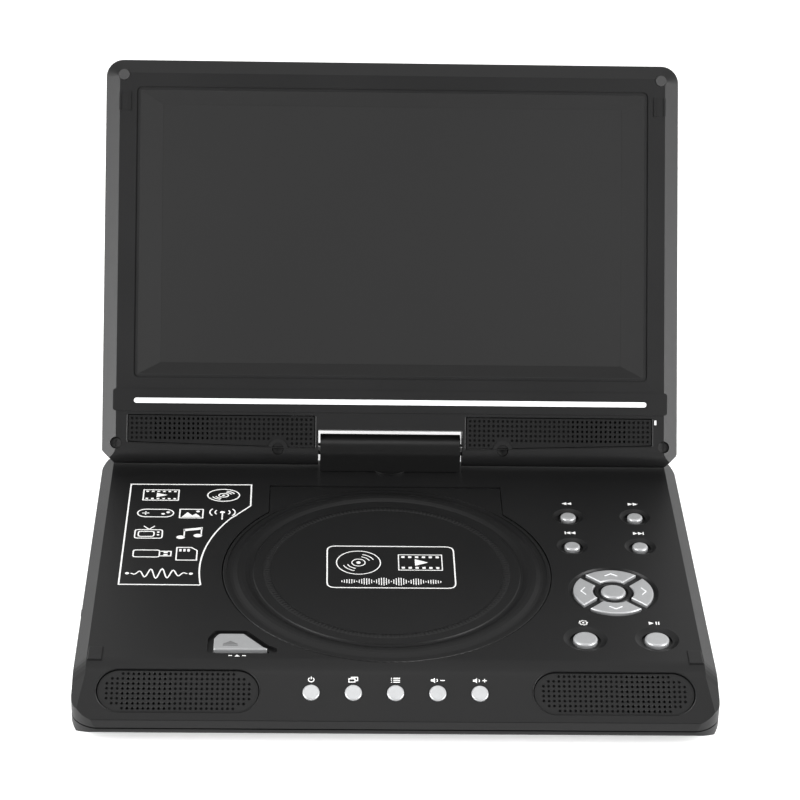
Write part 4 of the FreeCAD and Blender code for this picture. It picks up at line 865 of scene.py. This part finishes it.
class PLAYER_OT_small_parts(Operator):
    """Finishes the keys, the trim, the picture, rubber, metal and everything inside"""
    bl_idname = "player.small_parts"
    bl_label = "Keys, trim and inner parts"

    def execute(self, context):
        silver = tuple(context.scene.player_keys.silver)
        dress(silver_paint("silver_keys", silver), *[k + "_button" for k in SILVER_KEYS])
        dress(silver_paint("silver_open_key", scaled(silver, 0.9), 0.32), "open_button")
        dress(silver_paint("silver_strip", scaled(silver, 1.9), 0.4, 0.2), "trim_strip")
        dress(picture_face(), "lcd_panel")
        dress(soft_rubber(), "rubber_feet", "screw_caps", "drive_dampers")
        dress(brushed_metal("blackened_screws", 0.09, 0.32), "base_screws", "display_screws")
        dress(brushed_metal("bright_steel", 0.55, 0.26), "guide_rods", "feed_screw", "tilt_shafts",
              "drive_motors", "drive_chassis", "swivel_plate", "hinge_frame", "swivel_retainer",
              "hinge_brackets", "lcd_frame")
        dress(inner_moulding(), "disc_well", "spindle_hub", "laser_sled", "lid_liner", "lid_latch",
              "side_sockets", "base_speakers")
        dress(circuit_board(), "main_board", "key_boards", "display_board")
        dress(chip_epoxy(), "main_board_parts", "key_switches", "display_cable")
        dress(battery_sleeve(), "battery_pack")
        dress(lamp_lens(), "indicator_lamp")
        return {"FINISHED"}


class PLAYER_OT_grilles(Operator):
    """Builds the four perforated speaker panels"""
    bl_idname = "player.grilles"
    bl_label = "Speaker panels"

    def execute(self, context):
        shell, holes = context.scene.player_shell, context.scene.player_grilles
        plastic = moulded_cover("panel_plastic", scaled(shell.tone, 0.9), shell.roughness, shell.grain)
        shade = hole_shade()
        for side in (-1, 1):
            low = base_grille(side, plastic, shade, holes)
            high = screen_grille(side, plastic, shade, holes)
        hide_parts("speaker_grilles")
        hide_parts("display_grilles")
        return {"FINISHED"}


class PLAYER_OT_lid_details(Operator):
    """Adds the ribbed ring on the lid and the print in its middle"""
    bl_idname = "player.lid_details"
    bl_label = "Lid ring and print"

    def execute(self, context):
        shell, keys = context.scene.player_shell, context.scene.player_keys
        plastic = moulded_cover("lid_ring_plastic", scaled(shell.tone, 0.94), shell.roughness, shell.grain)
        self.ribbed_ring(plastic)
        self.middle_print(printed_ink(keys.ink))
        return {"FINISHED"}

    @staticmethod
    def ribbed_ring(plastic):
        """Height over the lid is a bell across the ring's width times a raised cosine of the angle, with one
        rib every two degrees."""
        inner, outer, rise = 47.2, 50.3, 0.42
        a = np.linspace(0, 2 * np.pi, 180 * 6, endpoint=False)[:, None]
        t = np.linspace(0, 1, 9)[None, :]
        radius = outer - (outer - inner) * t
        bell = np.sin(np.pi * t) ** 0.6
        height = rise * bell * (0.45 + 0.55 * (0.5 + 0.5 * np.cos(180 * a))) - 0.02
        flat = np.stack([LID_X + radius * np.cos(a), LID_Y + radius * np.sin(a)], axis=-1)
        build = Build()
        build.grid(DECK.place(flat, height), wrap_u=True)
        build.piece("lid_ribbed_ring", "lid", [plastic], "lid_plastic", smooth=True)

    @staticmethod
    def middle_print(ink):
        """A plain emblem: a disc, a strip of film beside it and a sound wave, inside a rounded frame."""
        p = Print(DECK, width=0.42)
        p.at(LID_X + 1.7, LID_Y + 2.6)
        p.line(rounded([(-26, -16), (26, -16), (26, 16), (-26, 16)], 3.5), closed=True, width=0.55)
        p.at(LID_X - 11.5, LID_Y + 5.8, 9.0)
        disc_icon(p)
        p.at(LID_X + 13.8, LID_Y + 6.2, 7.4)
        film_icon(p)
        p.at(LID_X + 1.7, LID_Y - 8.6, 20.0, 1.0)
        x = np.linspace(-1, 1, 41)
        for level in x:
            tall = 0.02 + 0.13 * abs(math.sin(level * 9)) * math.cos(level * 1.3)
            left, right = level - 0.009, level + 0.009
            p.patch([(left, -tall), (right, -tall), (right, tall), (left, tall)])
        p.build.piece("lid_print", "lid", [ink], "lid_plastic")


class PLAYER_OT_panel_print(Operator):
    """Prints the outlined panel of function signs to the left of the lid"""
    bl_idname = "player.panel_print"
    bl_label = "Function panel print"

    def execute(self, context):
        keys = context.scene.player_keys
        p = Print(DECK, width=keys.stroke / MM)
        p.line(panel_outline(), closed=True, width=0.62)
        p.width = 0.55
        icons = [(film_icon, -97.5, 56.0, 5.4, 1.15), (disc_icon, -71.0, 56.2, 5.0, 1.35),
                 (pad_icon, -99.0, 41.0, 5.0, 1.1), (picture_icon, -84.0, 40.8, 4.4, 1.0),
                 (radio_icon, -71.0, 40.8, 5.2, 1.2), (set_icon, -101.0, 25.0, 5.4, 1.05),
                 (note_icon, -83.0, 25.0, 5.6, 1.05), (stick_icon, -99.0, 8.6, 6.4, 1.05),
                 (card_icon, -84.5, 8.6, 5.2, 1.15), (wave_line, -95.0, -6.8, 11.5, 1.0)]
        for icon, x, y, size, stretch in icons:
            icon(p.at(x, y, size, stretch))
        p.build.piece("panel_print", "base", [printed_ink(keys.ink)], "base_shell")
        return {"FINISHED"}


class PLAYER_OT_key_marks(Operator):
    """Prints the signs beside the keys, and moulds the signs on the arrow keys and the open key"""
    bl_idname = "player.key_marks"
    bl_label = "Key signs"

    def execute(self, context):
        keys = context.scene.player_keys
        ink = printed_ink(keys.ink)
        self.deck_signs(ink)
        self.front_signs(ink)
        # painted highlight: the moulded chevrons are the keys' silver, drawn brighter to stand for the light they
        # catch
        self.arrow_signs(silver_paint("raised_sign_painted_highlight", scaled(keys.silver, 1.9), 0.3, 0.2))
        self.open_sign(silver_paint("open_sign", scaled(keys.silver, 0.35), 0.4, 0.2))
        return {"FINISHED"}

    @staticmethod
    def deck_signs(ink):
        p = Print(DECK, width=0.35)
        for name, lift, draw in (("rewind", 10.6, lambda: triangles(p, -1, 2)),
                                 ("forward", 10.6, lambda: triangles(p, 1, 2)),
                                 ("previous", 10.3, lambda: triangles(p, -1, 2, True)),
                                 ("next", 10.3, lambda: triangles(p, 1, 2, True)),
                                 ("setup", 11.4, lambda: gear_sign(p)),
                                 ("play_pause", 11.4, lambda: play_pause_sign(p))):
            spot = middle(name + "_button")
            p.at(spot.x, spot.y + lift, 2.2, 1.0)
            draw()
        p.at(-61.6, -66.2, 1.0)
        p.patch([(-1.0, -0.6), (1.0, -0.6), (0, 0.7)])
        for x in (-3.4, 2.0):
            p.patch([(x, -0.25), (x + 1.4, -0.25), (x + 1.4, 0.25), (x, 0.25)])
        p.build.piece("deck_key_signs", "base", [ink], "base_shell")

    @staticmethod
    def front_signs(ink):
        p = Print(SLOPE, width=0.34)
        draws = (power_sign, mode_sign, menu_sign, lambda q: volume_sign(q, False), lambda q: volume_sign(q, True))
        for name, draw in zip(FRONT_KEYS, draws):
            p.at(middle(name + "_button").x, -6.4, 1.5, 1.15)
            draw(p)
        p.build.piece("front_key_signs", "base", [ink], "base_shell")

    @staticmethod
    def arrow_signs(bright):
        """A raised chevron on each arrow key: two short lines that meet at the outer side; its brighter silver is
        painted highlight.
        """
        hub = middle("ok_button")
        for name, angle in (("nav_right", 0), ("nav_up", 90), ("nav_left", 180), ("nav_down", 270)):
            turn = Matrix.Rotation(math.radians(angle), 2)
            p = Print(DECK, height=top_of(name + "_button") - DECK_Z, width=0.45, thickness=0.12)
            chevron = ((11.4, -2.6), (13.2, 0), (11.4, 2.6))
            spots = [turn @ Vector(c) + Vector((hub.x, hub.y)) for c in chevron]
            p.line([tuple(s) for s in spots])
            p.build.piece(name + "_sign", name + "_key", [bright], "silver_plastic")

    @staticmethod
    def open_sign(bright):
        p = Print(DECK, height=top_of("open_button") - DECK_Z, width=0.4, thickness=0.12)
        eject_sign(p.at(-64.4, -58.2, 2.4, 1.5))
        p.build.piece("open_key_sign", "open_key", [bright], "silver_plastic")


class PLAYER_OT_stage(Operator):
    """Sets the floor, the surround, the lamps and the camera"""
    bl_idname = "player.stage"
    bl_label = "Stage"

    def execute(self, context):
        look = context.scene.player_stage
        self.floor(floor_paint(look.floor, look.glow))
        self.surround(context.scene, look.surround, look.front)
        self.soft_box("lamp_left", (-1.1, -0.55, 0.45), (0, 0, 0.09), (0.7, 0.9), look.side_lamps)
        self.soft_box("lamp_right", (1.1, -0.55, 0.45), (0, 0, 0.09), (0.7, 0.9), look.side_lamps)
        self.soft_box("lamp_top", (0, -0.1, 1.5), (0, -0.05, 0), (1.0, 0.6), look.top_lamp)
        self.camera(context.scene)
        context.scene.view_settings.view_transform = "Standard"
        return {"FINISHED"}

    @staticmethod
    def floor(paint):
        mesh = bpy.data.meshes.new("floor")
        corners = [(x * FLOOR_HALF, y * FLOOR_HALF, 0) for x, y in ((-1, -1), (1, -1), (1, 1), (-1, 1))]
        mesh.from_pydata(corners, [], [(0, 1, 2, 3)])
        mesh.materials.append(paint)
        floor = bpy.data.objects.new("floor", mesh)
        bpy.context.scene.collection.objects.link(floor)

    @staticmethod
    def surround(scene, behind, front):
        """White to look at all round. As a light it is white behind the player, and goes down to grey overhead
        and in front."""
        world = bpy.data.worlds.new("surround")
        r = Recipe("surround", world)
        direction = r.node("TexCoord", output="Generated")
        back = r.node("SeparateXYZ", inputs={"Vector": direction}, output="Y")
        fade = r.node("MapRange", {"interpolation_type": "SMOOTHSTEP"},
                      {"Value": back, "From Min": -0.05, "From Max": 0.5, "To Min": front, "To Max": behind})
        seen = r.node("LightPath", output="Is Camera Ray")
        strength = r.node("Math", {"operation": "MAXIMUM"}, {0: fade, 1: seen})
        sky = r.node("Background", inputs={"Color": (1, 1, 1, 1), "Strength": strength})
        r.node("OutputWorld", {}, {"Surface": sky})
        scene.world = world

    @staticmethod
    def soft_box(name, place, aim, size, power):
        lamp = bpy.data.lights.new(name, "AREA")
        lamp.shape = "RECTANGLE"
        lamp.size, lamp.size_y = size
        lamp.energy = power
        made = bpy.data.objects.new(name, lamp)
        made.location = place
        made.rotation_mode = "QUATERNION"
        made.rotation_quaternion = (Vector(aim) - Vector(place)).to_track_quat("-Z", "Y")
        bpy.context.scene.collection.objects.link(made)

    @staticmethod
    def camera(scene):
        """A long lens in front of the player, above it and slightly to its left, with a small roll."""
        yaw, pitch, roll = (math.radians(turn) for turn in CAMERA_TURN)
        ahead = Vector((math.sin(yaw) * math.cos(pitch), math.cos(yaw) * math.cos(pitch), -math.sin(pitch)))
        right = Vector((math.cos(yaw), -math.sin(yaw), 0))
        up = right.cross(ahead)
        across = math.cos(roll) * right + math.sin(roll) * up
        upright = math.cos(roll) * up - math.sin(roll) * right
        data = bpy.data.cameras.new("camera")
        data.lens, data.sensor_width = CAMERA_LENS, 36.0
        made = bpy.data.objects.new("camera", data)
        turn = Matrix((across, upright, -ahead)).transposed().to_4x4()
        made.matrix_world = Matrix.Translation(CAMERA_PLACE) @ turn
        scene.collection.objects.link(made)
        scene.camera = made


class PLAYER_PT_sidebar(Panel):
    """The player's steps and settings in the sidebar"""
    bl_label = "Disc Player"
    bl_idname = "PLAYER_PT_sidebar"
    bl_space_type = "VIEW_3D"
    bl_region_type = "UI"
    bl_category = "Disc Player"

    def draw(self, context):
        for settings in SETTINGS:
            group = getattr(context.scene, settings)
            box = self.layout.box()
            for name in group.__annotations__:
                box.prop(group, name)
        for step in STEPS:
            self.layout.operator(step.bl_idname)


SETTINGS = {"player_shell": ShellSettings, "player_keys": KeySettings, "player_grilles": GrilleSettings,
            "player_stage": StageSettings}
STEPS = (PLAYER_OT_covers, PLAYER_OT_small_parts, PLAYER_OT_grilles, PLAYER_OT_lid_details,
         PLAYER_OT_panel_print, PLAYER_OT_key_marks, PLAYER_OT_stage)


def register():
    for made in (*SETTINGS.values(), *STEPS, PLAYER_PT_sidebar):
        bpy.utils.register_class(made)
    for name, settings in SETTINGS.items():
        setattr(bpy.types.Scene, name, PointerProperty(type=settings))


def unregister():
    for name in SETTINGS:
        delattr(bpy.types.Scene, name)
    for made in (PLAYER_PT_sidebar, *STEPS[::-1], *SETTINGS.values()):
        bpy.utils.unregister_class(made)


def main():
    register()
    for step in STEPS:
        group, name = step.bl_idname.split(".")
        getattr(getattr(bpy.ops, group), name)()


if __name__ == "__main__":
    main()
